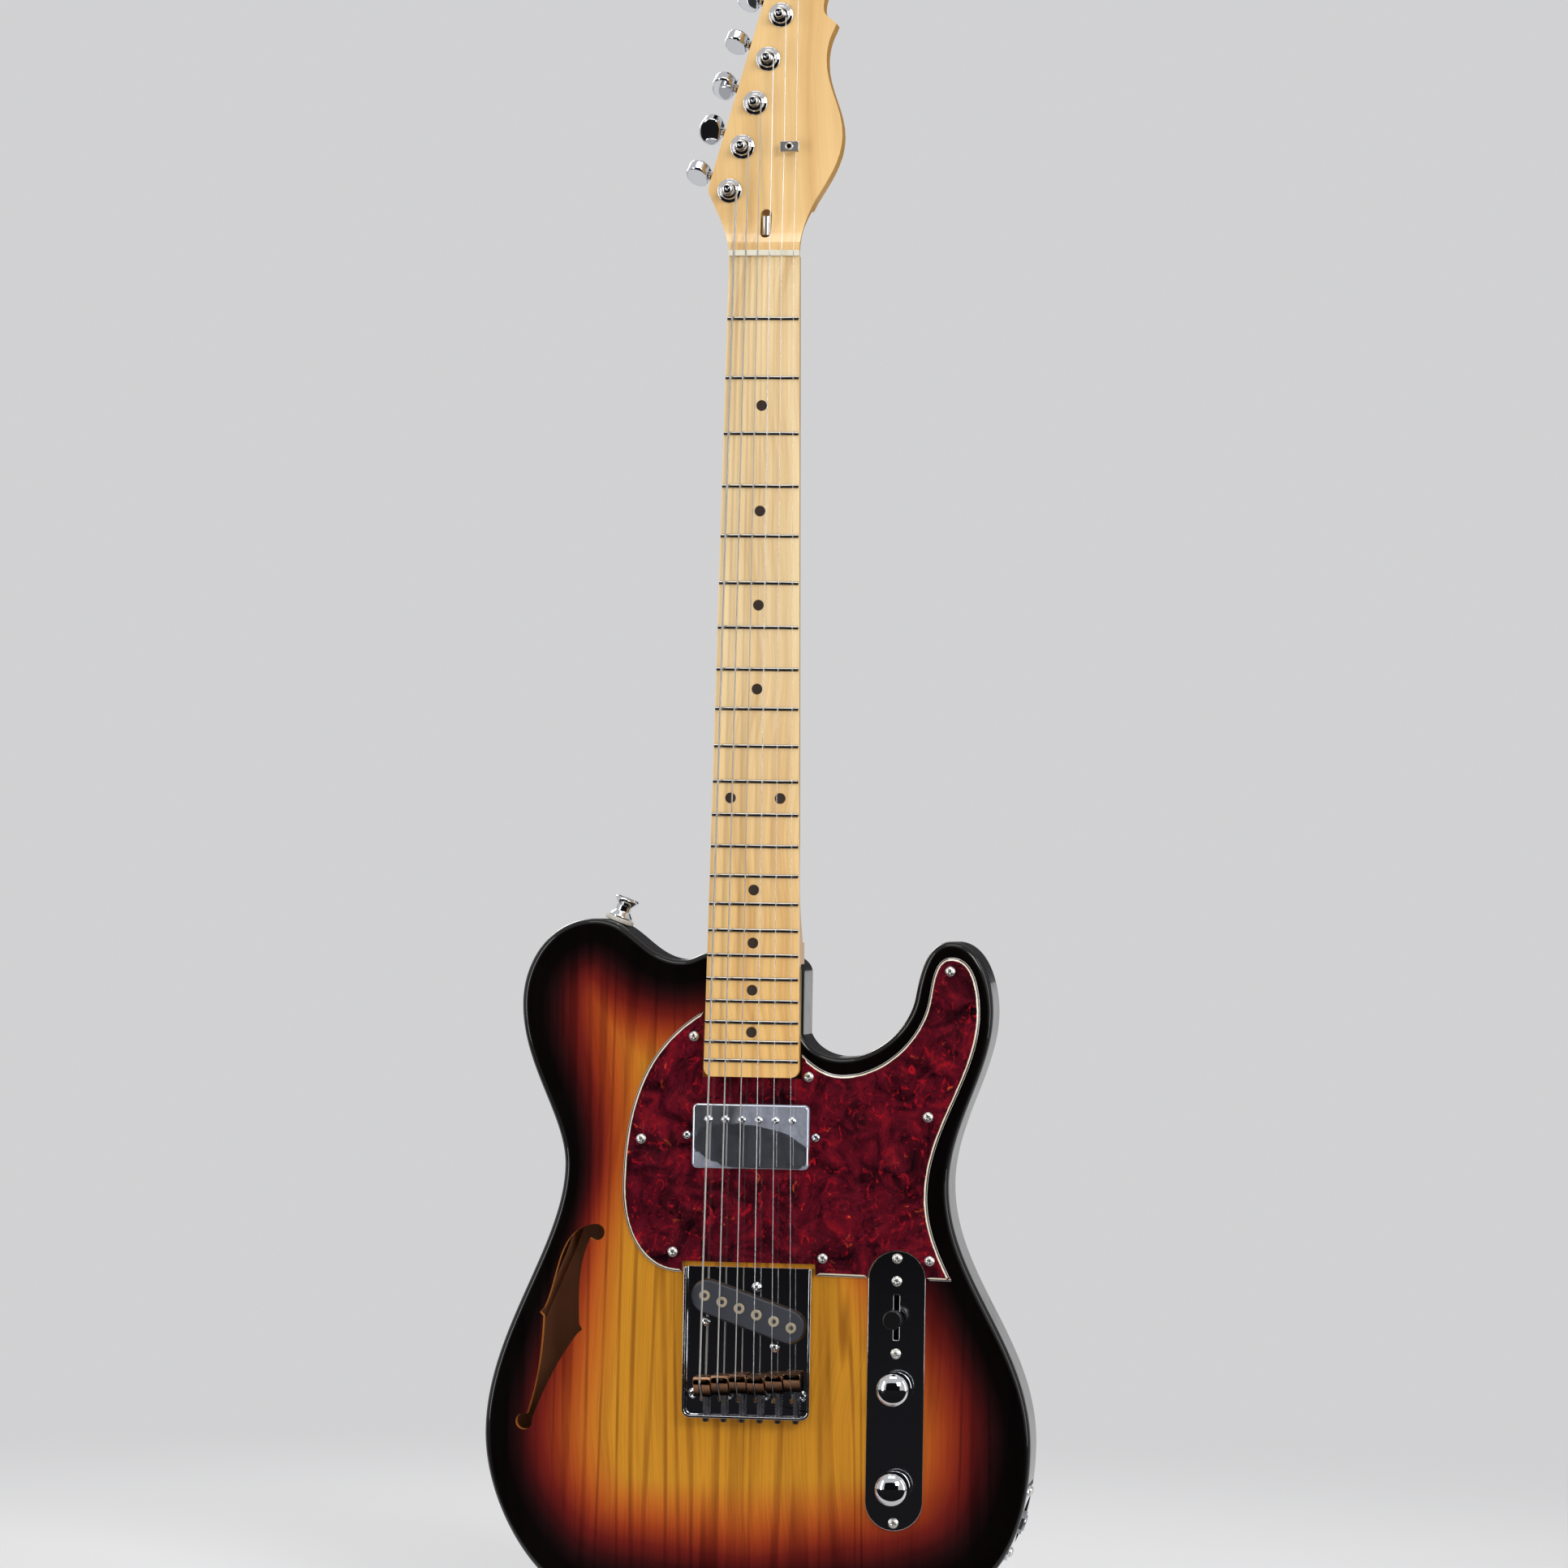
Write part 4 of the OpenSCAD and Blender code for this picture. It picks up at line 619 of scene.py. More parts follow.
@dataclass
class Desk:
    """A node tree being wired."""

    tree: Tree  # the tree

    def add(self, kind: str, inputs: dict[Any, Any] | None = None, **settings: Any) -> Node:
        """Adds a node, with its settings and inputs.

        Args:
            kind: Node type.
            inputs: Values or sockets by input name or number.
            settings: Properties of the node.

        Returns:
            The node.
        """
        node = self.tree.nodes.new(kind)
        for key, value in settings.items():
            setattr(node, key, value)
        for key, value in (inputs or {}).items():
            if isinstance(value, Socket):
                self.tree.links.new(value, node.inputs[key])
            else:
                node.inputs[key].default_value = value
        return node

    def link(self, value: Socket, socket: Socket) -> None:
        """Wires a value to a socket."""
        self.tree.links.new(value, socket)

    def math(self, operation: str, a: Any, b: Any = 0.0) -> Socket:
        """Adds a sum of two values and gives its output."""
        return self.add("ShaderNodeMath", {0: a, 1: b}, operation=operation).outputs[0]

    def times(self, a: Any, b: Any) -> Socket:
        """Multiplies two values."""
        return self.math("MULTIPLY", a, b)

    def noise(self, vector: Any, scale: float, detail: float = 3.0, rough: float = 0.5,
              wander: float = 0.0) -> Socket:
        """Adds a noise pattern and gives its value."""
        return self.add("ShaderNodeTexNoise", {"Vector": vector, "Scale": scale, "Detail": detail,
                                               "Roughness": rough, "Distortion": wander}).outputs["Fac"]

    def ramp(self, value: Any, stops: Sequence[tuple[float, Colour]], kind: str = "LINEAR") -> Socket:
        """Adds a colour ramp.

        Args:
            value: The value that runs along it.
            stops: Places and colours.
            kind: How it runs between stops.

        Returns:
            The colour.
        """
        node = self.add("ShaderNodeValToRGB", {0: value})
        node.color_ramp.interpolation = kind
        while len(node.color_ramp.elements) < len(stops):
            node.color_ramp.elements.new(1.0)
        for e, (at, colour) in zip(node.color_ramp.elements, stops):
            e.position = at
            e.color = (*colour, 1.0)
        return node.outputs[0]

    def levels(self, value: Any, low: float, high: float, to_low: float = 0.0, to_high: float = 1.0) -> Socket:
        """Stretches a value between two levels."""
        return self.add("ShaderNodeMapRange", {0: value, 1: low, 2: high, 3: to_low, 4: to_high}).outputs[0]

    def mix(self, fac: Any, a: Any, b: Any, blend: str = "MIX") -> Socket:
        """Mixes two colours.

        Args:
            fac: How much of the second.
            a: First colour.
            b: Second colour.
            blend: How they mix.

        Returns:
            The colour.
        """
        first, second = ((*c, 1.0) if isinstance(c, tuple) else c for c in (a, b))
        mixed = self.add("ShaderNodeMix", {0: fac, 6: first, 7: second}, data_type="RGBA", blend_type=blend)
        return mixed.outputs[2]

    def stretched(self, vector: Any, scale: Triple) -> Socket:
        """Scales coordinates along each axis."""
        return self.add("ShaderNodeMapping", {"Vector": vector, "Scale": scale}).outputs[0]

    def split(self, vector: Any) -> tuple[Socket, ...]:
        """Gives coordinates one by one, as x, y and z."""
        return tuple(self.add("ShaderNodeSeparateXYZ", {0: vector}).outputs)


def open_group(kind: TreeKind, name: str, ins: dict[str, tuple[str, Any]],
               outs: dict[str, str]) -> tuple[Desk, Node, Node]:
    """Starts a node group.

    Args:
        kind: Kind of group.
        name: Name of the group.
        ins: Socket type and default of each input by name.
        outs: Socket type of each output by name.

    Returns:
        The desk and the group's input and output nodes.
    """
    tree = bpy.data.node_groups.new(name, kind.value)
    for label, (socket, value) in ins.items():
        made = tree.interface.new_socket(label, in_out="INPUT", socket_type=f"NodeSocket{socket}")
        if value is not None:
            made.default_value = value
    for label, socket in outs.items():
        tree.interface.new_socket(label, in_out="OUTPUT", socket_type=f"NodeSocket{socket}")
    desk = Desk(tree)
    return desk, desk.add("NodeGroupInput"), desk.add("NodeGroupOutput")


def grain_group() -> Tree:
    """Builds the wood grain that runs along the guitar's length.

    Returns:
        The group, with broad streaks and fine fibre as outputs.
    """
    desk, i, o = open_group(
        TreeKind.SHADER, "wood_grain",
        {"Vector": ("Vector", None), "Streaks": ("Float", 60.0), "Length": ("Float", 3.0),
         "Fibre": ("Float", 700.0)},
        {"Streak": "Float", "Fine": "Float"})
    sway = desk.math("SUBTRACT", desk.noise(i.outputs["Vector"], 5.0, 2.0), 0.5)
    x, y, z = desk.split(i.outputs["Vector"])
    x = desk.math("ADD", x, desk.times(sway, 0.05))

    def drawn(across: Any, deep: float, along: Any) -> Socket:
        """Stretches the swaying coordinates along each axis."""
        parts = {0: desk.times(x, across), 1: desk.times(y, deep), 2: desk.times(z, along)}
        return desk.add("ShaderNodeCombineXYZ", parts).outputs[0]

    broad = drawn(i.outputs["Streaks"], 12.0, i.outputs["Length"])
    fine = drawn(i.outputs["Fibre"], 90.0, 14.0)
    desk.link(desk.noise(broad, 1.0, 5.0, 0.55, 0.4), o.inputs["Streak"])
    desk.link(desk.noise(fine, 1.0, 3.0, 0.6), o.inputs["Fine"])
    return desk.tree


def smudge_group() -> Tree:
    """Builds faint finger marks and dust that change a polished surface's roughness.

    Returns:
        The group, with a mask from 0 to 1 as output.
    """
    desk, i, o = open_group(TreeKind.SHADER, "smudge", {"Vector": ("Vector", None), "Size": ("Float", 60.0)},
                            {"Mask": "Float"})
    scaled = desk.add("ShaderNodeVectorMath", {0: i.outputs["Vector"], 3: i.outputs["Size"]}, operation="SCALE")
    cloud = desk.noise(scaled.outputs[0], 1.0, 5.0, 0.62, 0.3)
    desk.link(desk.levels(cloud, 0.48, 0.78), o.inputs["Mask"])
    return desk.tree


def pit_group() -> Tree:
    """Builds the fine uneven surface of moulded, cast or woven stuff.

    Returns:
        The group, with a height and a speck mask as outputs.
    """
    desk, i, o = open_group(TreeKind.SHADER, "pitting", {"Vector": ("Vector", None), "Size": ("Float", 900.0)},
                            {"Height": "Float", "Speck": "Float"})
    scaled = desk.add("ShaderNodeVectorMath", {0: i.outputs["Vector"], 3: i.outputs["Size"]}, operation="SCALE")
    height = desk.noise(scaled.outputs[0], 1.0, 4.0, 0.7)
    desk.link(height, o.inputs["Height"])
    desk.link(desk.levels(height, 0.55, 0.75), o.inputs["Speck"])
    return desk.tree


@dataclass
class Bench(Desk):
    """A material being wired."""

    shader: Node  # its shader
    where: Socket  # object coordinates

    def feed(self, socket: str, value: Socket) -> None:
        """Wires a value to the shader."""
        self.link(value, self.shader.inputs[socket])

    def painted(self) -> Socket:
        """Gives the colour that the shader has so far."""
        return self.shader.inputs["Base Color"].links[0].from_socket

    def use(self, name: str, **values: float) -> Any:
        """Places a shared effect with its own values.

        Args:
            name: The group's name.
            values: Its inputs besides the coordinates.

        Returns:
            Its outputs.
        """
        node = self.add("ShaderNodeGroup", node_tree=GROUPS[name])
        self.link(self.where, node.inputs["Vector"])
        for key, value in values.items():
            node.inputs[key].default_value = value
        return node.outputs

    def smudged(self, size: float, rough: float, more: float) -> Socket:
        """Gives a roughness that finger marks raise."""
        return self.levels(self.use("smudge", Size=size)["Mask"], 0.0, 1.0, rough, min(1.0, rough + more))

    def stored(self, name: str) -> Socket:
        """Reads a value stored on the mesh."""
        return self.add("ShaderNodeAttribute", attribute_name=name).outputs["Fac"]

    def bump(self, height: Any, depth: float) -> None:
        """Roughens the shader's normal by a height in metres."""
        node = self.add("ShaderNodeBump", {"Height": height, "Distance": depth, "Strength": 1.0})
        self.feed("Normal", node.outputs[0])


@dataclass(frozen=True)
class Finish:
    """A polished finish with faint smudges."""

    name: str  # its name
    colour: Colour  # its plain colour
    rough: float = 0.4  # its roughness
    metal: float = 0.0  # whether it is bare metal
    coat: float = 0.0  # weight of the clear lacquer over it
    coat_rough: float = 0.05  # roughness of the lacquer
    gleam: float = 0.5  # specular level under the lacquer

    def make(self) -> Material:
        """Builds the material.

        Returns:
            The material.
        """
        mat = bpy.data.materials.new(self.name)
        mat.use_nodes = True
        mat.diffuse_color = (*self.colour, 1.0)
        shader = mat.node_tree.nodes["Principled BSDF"]
        for socket, value in (("Base Color", (*self.colour, 1.0)), ("Roughness", self.rough),
                              ("Metallic", self.metal), ("Coat Weight", self.coat),
                              ("Coat Roughness", self.coat_rough), ("Specular IOR Level", self.gleam)):
            shader.inputs[socket].default_value = value
        where = mat.node_tree.nodes.new("ShaderNodeTexCoord").outputs["Object"]
        self.detail(Bench(mat.node_tree, shader, where))
        return mat

    def detail(self, bench: Bench) -> None:
        """Wires what changes over the surface."""
        bench.feed("Roughness", bench.smudged(45.0, self.rough, 0.09))


class Sunburst(Finish):
    """Ash under a burst from gold through red to black, by distance from the rim."""

    STAIN = ((0.0, (0.002, 0.002, 0.006)), (0.17, (0.004, 0.003, 0.04)), (0.25, (0.025, 0.01, 0.16)),
             (0.33, (0.085, 0.014, 0.22)), (0.45, (0.28, 0.044, 0.36)), (0.56, (0.52, 0.146, 0.44)),
             (0.67, (0.74, 0.32, 0.6)), (0.8, (0.9, 0.58, 0.8)), (1.0, (1.0, 1.0, 1.0)))

    def detail(self, bench: Bench) -> None:
        """Wires the grain, the burst and the lacquer.

        Args:
            bench: The material being wired.
        """
        grain = bench.use("wood_grain", Streaks=70.0, Length=1.6, Fibre=900.0)
        years = bench.noise(bench.stretched(bench.where, (36.0, 10.0, 0.9)), 1.0, 1.6, 0.42, 0.25)
        line = bench.levels(bench.math("SINE", bench.times(years, 72.0)), 0.3, 0.96)
        patch = bench.noise(bench.stretched(bench.where, (60.0, 10.0, 9.0)), 1.0, 3.0)
        broken = bench.times(line, bench.levels(patch, 0.35, 0.6, 0.25, 1.0))
        streak = bench.levels(grain["Streak"], 0.5, 0.68)
        fine = bench.levels(grain["Fine"], 0.46, 0.72)
        wood = bench.mix(bench.times(streak, 0.3), srgb(199, 136, 36), srgb(134, 82, 22))
        wood = bench.mix(bench.times(broken, 0.75), wood, srgb(134, 77, 18))
        wood = bench.mix(bench.times(fine, 0.3), wood, srgb(122, 72, 18))
        soft = bench.math("SUBTRACT", bench.noise(bench.where, 9.0, 2.0), 0.5)
        at = bench.math("ADD", bench.stored("burst"), bench.times(soft, 0.05))
        bench.feed("Base Color", bench.mix(1.0, wood, bench.ramp(at, self.STAIN), "MULTIPLY"))
        bench.feed("Roughness", bench.smudged(18.0, self.rough, 0.1))


@dataclass(frozen=True)
class Wood(Finish):
    """Plain wood with grain along the neck."""

    dark: Colour = (0.3, 0.15, 0.04)  # colour of its streaks
    streaks: float = 90.0  # streaks to a metre
    strength: float = 0.5  # how strong they are

    def detail(self, bench: Bench) -> None:
        """Wires grain, fibre and a slight figure across it.

        Args:
            bench: The material being wired.
        """
        grain = bench.use("wood_grain", Streaks=self.streaks, Length=2.2, Fibre=900.0)
        streak = bench.levels(grain["Streak"], 0.44, 0.74)
        fine = bench.levels(grain["Fine"], 0.4, 0.8)
        colour = bench.mix(bench.times(streak, self.strength), self.colour, self.dark)
        colour = bench.mix(bench.times(fine, self.strength * 0.45), colour, self.dark)
        figure = bench.noise(bench.stretched(bench.where, (30.0, 30.0, 7.0)), 1.0, 2.0)
        light = tuple(min(1.0, c * 1.14) for c in self.colour)
        bench.feed("Base Color", bench.mix(bench.levels(figure, 0.5, 0.75, 0.0, 0.5), colour, light))
        bench.feed("Roughness", bench.levels(fine, 0.0, 1.0, self.rough, self.rough + 0.12))
        bench.bump(grain["Fine"], 0.00003)


class PaleAndGlareBoard(Wood):
    """Board wood that turns paler towards the nut: partly its own colour, partly painted glare, a sheen of light
    tinted into its colour.
    """

    def detail(self, bench: Bench) -> None:
        """Wires the grain and then a tint that grows along the neck, which paints glare into the colour.

        Args:
            bench: The material being wired.
        """
        super().detail(bench)
        along = bench.levels(bench.split(bench.where)[2], -0.46, -0.22)
        # painted glare: this tint pales and yellows the board towards the nut
        glare_tint = bench.mix(along, (1.03, 1.03, 1.05), (1.08, 1.34, 2.2))
        bench.feed("Base Color", bench.mix(1.0, bench.painted(), glare_tint, "MULTIPLY"))


class Tortoise(Finish):
    """Red swirled sheet with a pale, black and pale layered edge."""

    SWIRL = ((0.32, srgb(18, 3, 8)), (0.45, srgb(58, 8, 19)), (0.57, srgb(90, 13, 28)), (0.7, srgb(122, 18, 29)))
    EDGE = 0.16
    LAYERS = ((0.0, (0.0, 0.0, 0.0)), (EDGE, srgb(232, 222, 196)), (0.48, srgb(20, 16, 18)),
              (0.75, srgb(206, 196, 192)))

    def detail(self, bench: Bench) -> None:
        """Wires the swirl, its bright flecks and the layers of the edge.

        Args:
            bench: The material being wired.
        """
        blot = bench.noise(bench.where, 46.0, 6.0, 0.62, 1.4)
        fleck = bench.noise(bench.stretched(bench.where, (1.0, 1.0, 0.8)), 150.0, 5.0, 0.66, 2.0)
        spark = bench.noise(bench.where, 62.0, 3.0, 0.55, 2.6)
        bright = bench.times(bench.levels(spark, 0.655, 0.76), bench.levels(fleck, 0.48, 0.62))
        colour = bench.ramp(blot, self.SWIRL)
        colour = bench.mix(bench.levels(fleck, 0.57, 0.7, 0.0, 0.85), colour, srgb(178, 18, 34))
        colour = bench.mix(bright, colour, srgb(226, 92, 36))
        colour = bench.mix(bench.levels(fleck, 0.42, 0.32, 0.0, 0.75), colour, srgb(22, 3, 7))
        ply = bench.stored("ply")
        layers = bench.ramp(ply, self.LAYERS, "CONSTANT")
        bench.feed("Base Color", bench.mix(bench.math("GREATER_THAN", ply, self.EDGE), colour, layers))
        lines = bench.noise(bench.stretched(bench.where, (900.0, 900.0, 60.0)), 1.0, 1.0, 0.4, 1.0)
        scratch = bench.times(bench.levels(lines, 0.66, 0.72), 0.12)
        bench.feed("Roughness", bench.math("ADD", bench.smudged(70.0, self.rough, 0.12), scratch))


class PeeledCover(Finish):
    """Polished cover still hazed by remains of its shipping film."""

    MIDDLE = (-0.0005, 0.0, 0.5167)
    TURN = (0.0, math.radians(-8.0), 0.0)
    REACH = (0.036, 0.0135)

    def detail(self, bench: Bench) -> None:
        """Wires the torn haze over the polish.

        Args:
            bench: The material being wired.
        """
        spot = bench.add("ShaderNodeMapping", {"Vector": bench.where, "Location": self.MIDDLE}).outputs[0]
        turned_to = bench.add("ShaderNodeMapping", {"Vector": spot, "Rotation": self.TURN}).outputs[0]
        x, _, z = bench.split(turned_to)
        across, along = (bench.math("POWER", bench.math("DIVIDE", v, r), 2.0) for v, r in zip((x, z), self.REACH))
        ring = bench.math("SQRT", bench.math("ADD", across, along))
        ragged = bench.times(bench.noise(bench.where, 110.0, 5.0, 0.65, 0.8), 0.36)
        film = bench.levels(bench.math("ADD", ring, ragged), 1.14, 1.19)
        left = bench.levels(x, -0.014, -0.008, 0.25, 1.0)
        low = bench.levels(z, 0.006, 0.001)
        film = bench.times(film, bench.math("MAXIMUM", left, low))
        cloud = bench.levels(bench.noise(bench.where, 160.0, 5.0, 0.6, 0.5), 0.3, 0.7, 0.45, 0.75)
        veil = bench.levels(cloud, 0.45, 0.75, 0.06, 0.13)
        haze = bench.math("MAXIMUM", bench.times(film, cloud), veil)
        bench.feed("Base Color", bench.mix(haze, self.colour, srgb(186, 192, 210)))
        bench.feed("Metallic", bench.levels(haze, 0.0, 1.0, 1.0, 0.35))
        bench.feed("Roughness", bench.levels(haze, 0.0, 1.0, self.rough, 0.3))


@dataclass(frozen=True)
class Worn(Finish):
    """Cast, moulded, woven or tarnished stuff with specks."""

    dark: Colour = (0.02, 0.02, 0.02)  # colour of its specks
    size: float = 900.0  # specks to a metre
    depth: float = 0.00004  # depth of its unevenness in metres

    def detail(self, bench: Bench) -> None:
        """Wires specks, uneven roughness and a fine bump.

        Args:
            bench: The material being wired.
        """
        pits = bench.use("pitting", Size=self.size)
        cloud = bench.use("smudge", Size=120.0)["Mask"]
        spot = bench.math("MAXIMUM", bench.times(pits["Speck"], 0.5), bench.times(cloud, 0.6))
        bench.feed("Base Color", bench.mix(spot, self.colour, self.dark))
        bench.feed("Roughness", bench.levels(spot, 0.0, 1.0, self.rough, min(1.0, self.rough + 0.2)))
        bench.bump(pits["Height"], self.depth)


class ShadedTailBrass(Worn):
    """Brass that is bright at its crests, with painted shade darkening it behind them."""

    def detail(self, bench: Bench) -> None:
        """Wires the specks and then painted shade on the tails, by the tone stored on the mesh.

        Args:
            bench: The material being wired.
        """
        super().detail(bench)
        bright = bench.levels(bench.stored("tone"), 0.25, 0.9)
        # painted shade: the tails behind the crests darken to near black
        bench.feed("Base Color", bench.mix(bright, srgb(30, 20, 14), bench.painted()))


class WireWound(Finish):
    """String wire, wrapped so finely that only a sheen across it shows."""

    def detail(self, bench: Bench) -> None:
        """Wires the wrap along the string.

        Args:
            bench: The material being wired.
        """
        wave = bench.add("ShaderNodeTexWave", {"Vector": bench.where, "Scale": 620.0, "Distortion": 0.0},
                         bands_direction="Z")
        bench.bump(wave.outputs["Fac"], 0.00006)
        bench.feed("Roughness", bench.smudged(80.0, self.rough, 0.15))


FINISHES: tuple[Finish, ...] = (
    Sunburst("sunburst_ash", srgb(190, 130, 40), 0.32, coat=0.5, coat_rough=0.035, gleam=0.12),
    Finish("black_lacquer", (0.0035, 0.003, 0.003), 0.2, coat=0.35, coat_rough=0.03, gleam=0.25),
    Wood("raw_chamber", srgb(154, 98, 60), 0.72, dark=srgb(104, 62, 36), streaks=60.0, strength=0.6),
    Wood("cut_ash", srgb(190, 118, 48), 0.5, dark=srgb(120, 66, 22), streaks=300.0, strength=0.5),
    # neck maple painted paler, as lit, for the head's front faces and the slot's walls
    Wood("head_maple", srgb(242, 203, 141), 0.3, coat=0.55, coat_rough=0.12, dark=srgb(196, 142, 72),
         streaks=70.0, strength=0.4),
    Wood("neck_maple", srgb(214, 160, 72), 0.34, coat=0.4, coat_rough=0.18, dark=srgb(168, 112, 38),
         streaks=80.0, strength=0.45),
    # board maple with painted glare, paler towards the nut
    PaleAndGlareBoard("board_maple", srgb(236, 190, 116), 0.3, coat=0.5, coat_rough=0.12, dark=srgb(182, 124, 56),
            streaks=110.0, strength=0.6),
    Tortoise("red_tortoise", srgb(120, 16, 22), 0.12, coat=0.6, coat_rough=0.04),
    Finish("chrome", (0.7, 0.71, 0.73), 0.035, metal=1.0),
    Finish("satin_nickel", (0.74, 0.72, 0.68), 0.34, metal=1.0),
    Finish("fret_wire", (0.5, 0.48, 0.44), 0.16, metal=1.0),
    PeeledCover("peeled_cover", (0.62, 0.66, 0.74), 0.05, metal=1.0),
    ShadedTailBrass("brass", srgb(158, 116, 86), 0.24, metal=1.0, dark=srgb(84, 54, 38), size=700.0, depth=0.00003),
    Worn("plain_steel", (0.4, 0.4, 0.42), 0.3, metal=1.0, dark=(0.16, 0.16, 0.17), size=1200.0),
    Worn("dark_steel", (0.1, 0.1, 0.11), 0.36, metal=1.0, dark=(0.03, 0.03, 0.03), size=1200.0),
    WireWound("wound_string", (0.5, 0.48, 0.45), 0.3, metal=1.0),
    Finish("plain_string", (0.68, 0.68, 0.69), 0.2, metal=1.0),
    Worn("pickup_black", srgb(56, 58, 66), 0.46, dark=srgb(46, 48, 55), size=1500.0),
    Worn("black_plastic", srgb(15, 15, 17), 0.3, dark=srgb(10, 10, 11), size=1600.0, depth=0.00002),
    # position dots lifted from black to grey-brown as painted sheen
    Worn("dot_fibre", srgb(60, 48, 41), 0.35, dark=srgb(44, 34, 29), size=1200.0, depth=0.00002),
    Worn("bone", srgb(226, 220, 200), 0.38, dark=srgb(196, 186, 160), size=500.0, depth=0.00002),
    Worn("felt", srgb(226, 222, 210), 0.95, dark=srgb(188, 182, 168), size=2200.0, depth=0.0004),
    Worn("nickel_base", srgb(170, 164, 140), 0.4, metal=1.0, dark=srgb(104, 98, 82)),
    Worn("pole_nickel", srgb(186, 172, 146), 0.46, metal=0.4, dark=srgb(150, 134, 106)),
    Worn("copper_wire", srgb(150, 74, 42), 0.36, metal=1.0, dark=srgb(84, 34, 20), size=2600.0),
    Worn("magnet_bar", srgb(74, 72, 70), 0.55, metal=0.8, dark=srgb(40, 38, 37)),
    Worn("soft_rubber", srgb(26, 26, 26), 0.8, dark=srgb(16, 16, 16), size=1400.0),
    Worn("cloth_lead", srgb(206, 192, 150), 0.85, dark=srgb(150, 136, 96), size=2400.0, depth=0.0002),
    Worn("dipped_film", srgb(178, 76, 26), 0.35, dark=srgb(120, 44, 14), size=600.0))


def make_finishes() -> None:
    """Builds the shared effects and every material once."""
    GROUPS.update(wood_grain=grain_group(), smudge=smudge_group(), pitting=pit_group())
    FINISH.update({finish.name: finish.make() for finish in FINISHES})


def close_tree(desk: Desk, shape: Node, finish: Socket, end: Node) -> Tree:
    """Ends a geometry tree in real faces with a material.

    Args:
        desk: The tree's desk.
        shape: The node that makes the shape.
        finish: The material.
        end: The tree's output node.

    Returns:
        The tree.
    """
    real = desk.add("GeometryNodeRealizeInstances", {"Geometry": shape.outputs[0]})
    done = desk.add("GeometryNodeSetMaterial", {"Geometry": real.outputs[0], "Material": finish})
    desk.link(done.outputs[0], end.inputs[0])
    return desk.tree


def coil_tree() -> Tree:
    """Builds the tree for a round wire wound into a coil along Z.

    Returns:
        The tree.
    """
    desk, i, o = open_group(
        TreeKind.GEOMETRY, "wire_coil",
        {"Geometry": ("Geometry", None), "Turns": ("Float", 2.0), "Rings": ("Int", 64),
         "Radius": ("Float", 0.003), "Height": ("Float", 0.003), "Wire": ("Float", 0.0005),
         "Finish": ("Material", None)},
        {"Geometry": "Geometry"})
    turn = desk.add("GeometryNodeCurveSpiral", {
        "Resolution": i.outputs["Rings"], "Rotations": i.outputs["Turns"], "Start Radius": i.outputs["Radius"],
        "End Radius": i.outputs["Radius"], "Height": i.outputs["Height"]})
    wire = desk.add("GeometryNodeCurvePrimitiveCircle", {"Resolution": 10, "Radius": i.outputs["Wire"]})
    tube = desk.add("GeometryNodeCurveToMesh", {
        "Curve": turn.outputs[0], "Profile Curve": wire.outputs[0], "Fill Caps": True})
    return close_tree(desk, tube, i.outputs["Finish"], o)


def stud_tree() -> Tree:
    """Builds the tree that sets one small piece on every point, facing the point's aim.

    Returns:
        The tree.
    """
    desk, i, o = open_group(
        TreeKind.GEOMETRY, "set_studs",
        {"Geometry": ("Geometry", None), "Stud": ("Object", None), "Finish": ("Material", None)},
        {"Geometry": "Geometry"})
    aim, size, spin = (
        desk.add("GeometryNodeInputNamedAttribute", {"Name": name}, data_type=kind).outputs[0]
        for name, kind in (("aim", "FLOAT_VECTOR"), ("size", "FLOAT"), ("spin", "FLOAT")))
    face = desk.add("FunctionNodeAlignRotationToVector", {"Vector": aim}, axis="Z")
    twist = desk.add("FunctionNodeAxisAngleToRotation", {"Axis": UP, "Angle": spin})
    turn = desk.add("FunctionNodeRotateRotation", {"Rotation": face.outputs[0], "Rotate By": twist.outputs[0]},
                    rotation_space="LOCAL")
    stud = desk.add("GeometryNodeObjectInfo", {"Object": i.outputs["Stud"]})
    many = desk.add("GeometryNodeInstanceOnPoints", {
        "Points": i.outputs["Geometry"], "Instance": stud.outputs["Geometry"], "Rotation": turn.outputs[0],
        "Scale": size})
    return close_tree(desk, many, i.outputs["Finish"], o)


def grow(tree: Tree, mesh: Mesh, values: dict[str, Any]) -> Mesh:
    """Runs a geometry tree on a mesh and gives the plain mesh it makes.

    Args:
        tree: The tree.
        mesh: The mesh that it starts from.
        values: Its inputs by name.

    Returns:
        The result.
    """
    obj = show("grown", mesh)
    mod = obj.modifiers.new("grow", "NODES")
    mod.node_group = tree
    ids = {item.name: item.identifier for item in tree.interface.items_tree if item.in_out == "INPUT"}
    for label, value in values.items():
        mod[ids[label]] = value
    out = baked(obj)
    obj.modifiers.clear()
    bpy.data.objects.remove(obj)
    return out


@dataclass
class Coil:
    """A round wire wound into a coil, in millimetres."""

    radius: float  # radius of the wire's middle line
    height: float  # its height from end to end
    wire: float  # diameter of the wire
    turns: int  # its turns
    rings: int  # rings of the mesh to a turn
    finish: str  # name of its finish

    def wind(self, place_at: Matrix) -> Mesh:
        """Makes the coil along Z and moves it to its place.

        Args:
            place_at: Its place and turn, in metres.

        Returns:
            The mesh.
        """
        coil = grow(TREES["coil"], bpy.data.meshes.new("wire"), {
            "Turns": float(self.turns), "Rings": self.rings, "Radius": self.radius * MM,
            "Height": self.height * MM, "Wire": self.wire / 2 * MM, "Finish": FINISH[self.finish]})
        coil.transform(place_at)
        return coil


@dataclass
class Stud:
    """Where one repeated small piece goes."""

    at: Vector  # its place in millimetres
    aim: Vector = FRONT  # the way its head faces
    size: float = 1.0  # its scale
    spin: float = 0.0  # its turn in degrees


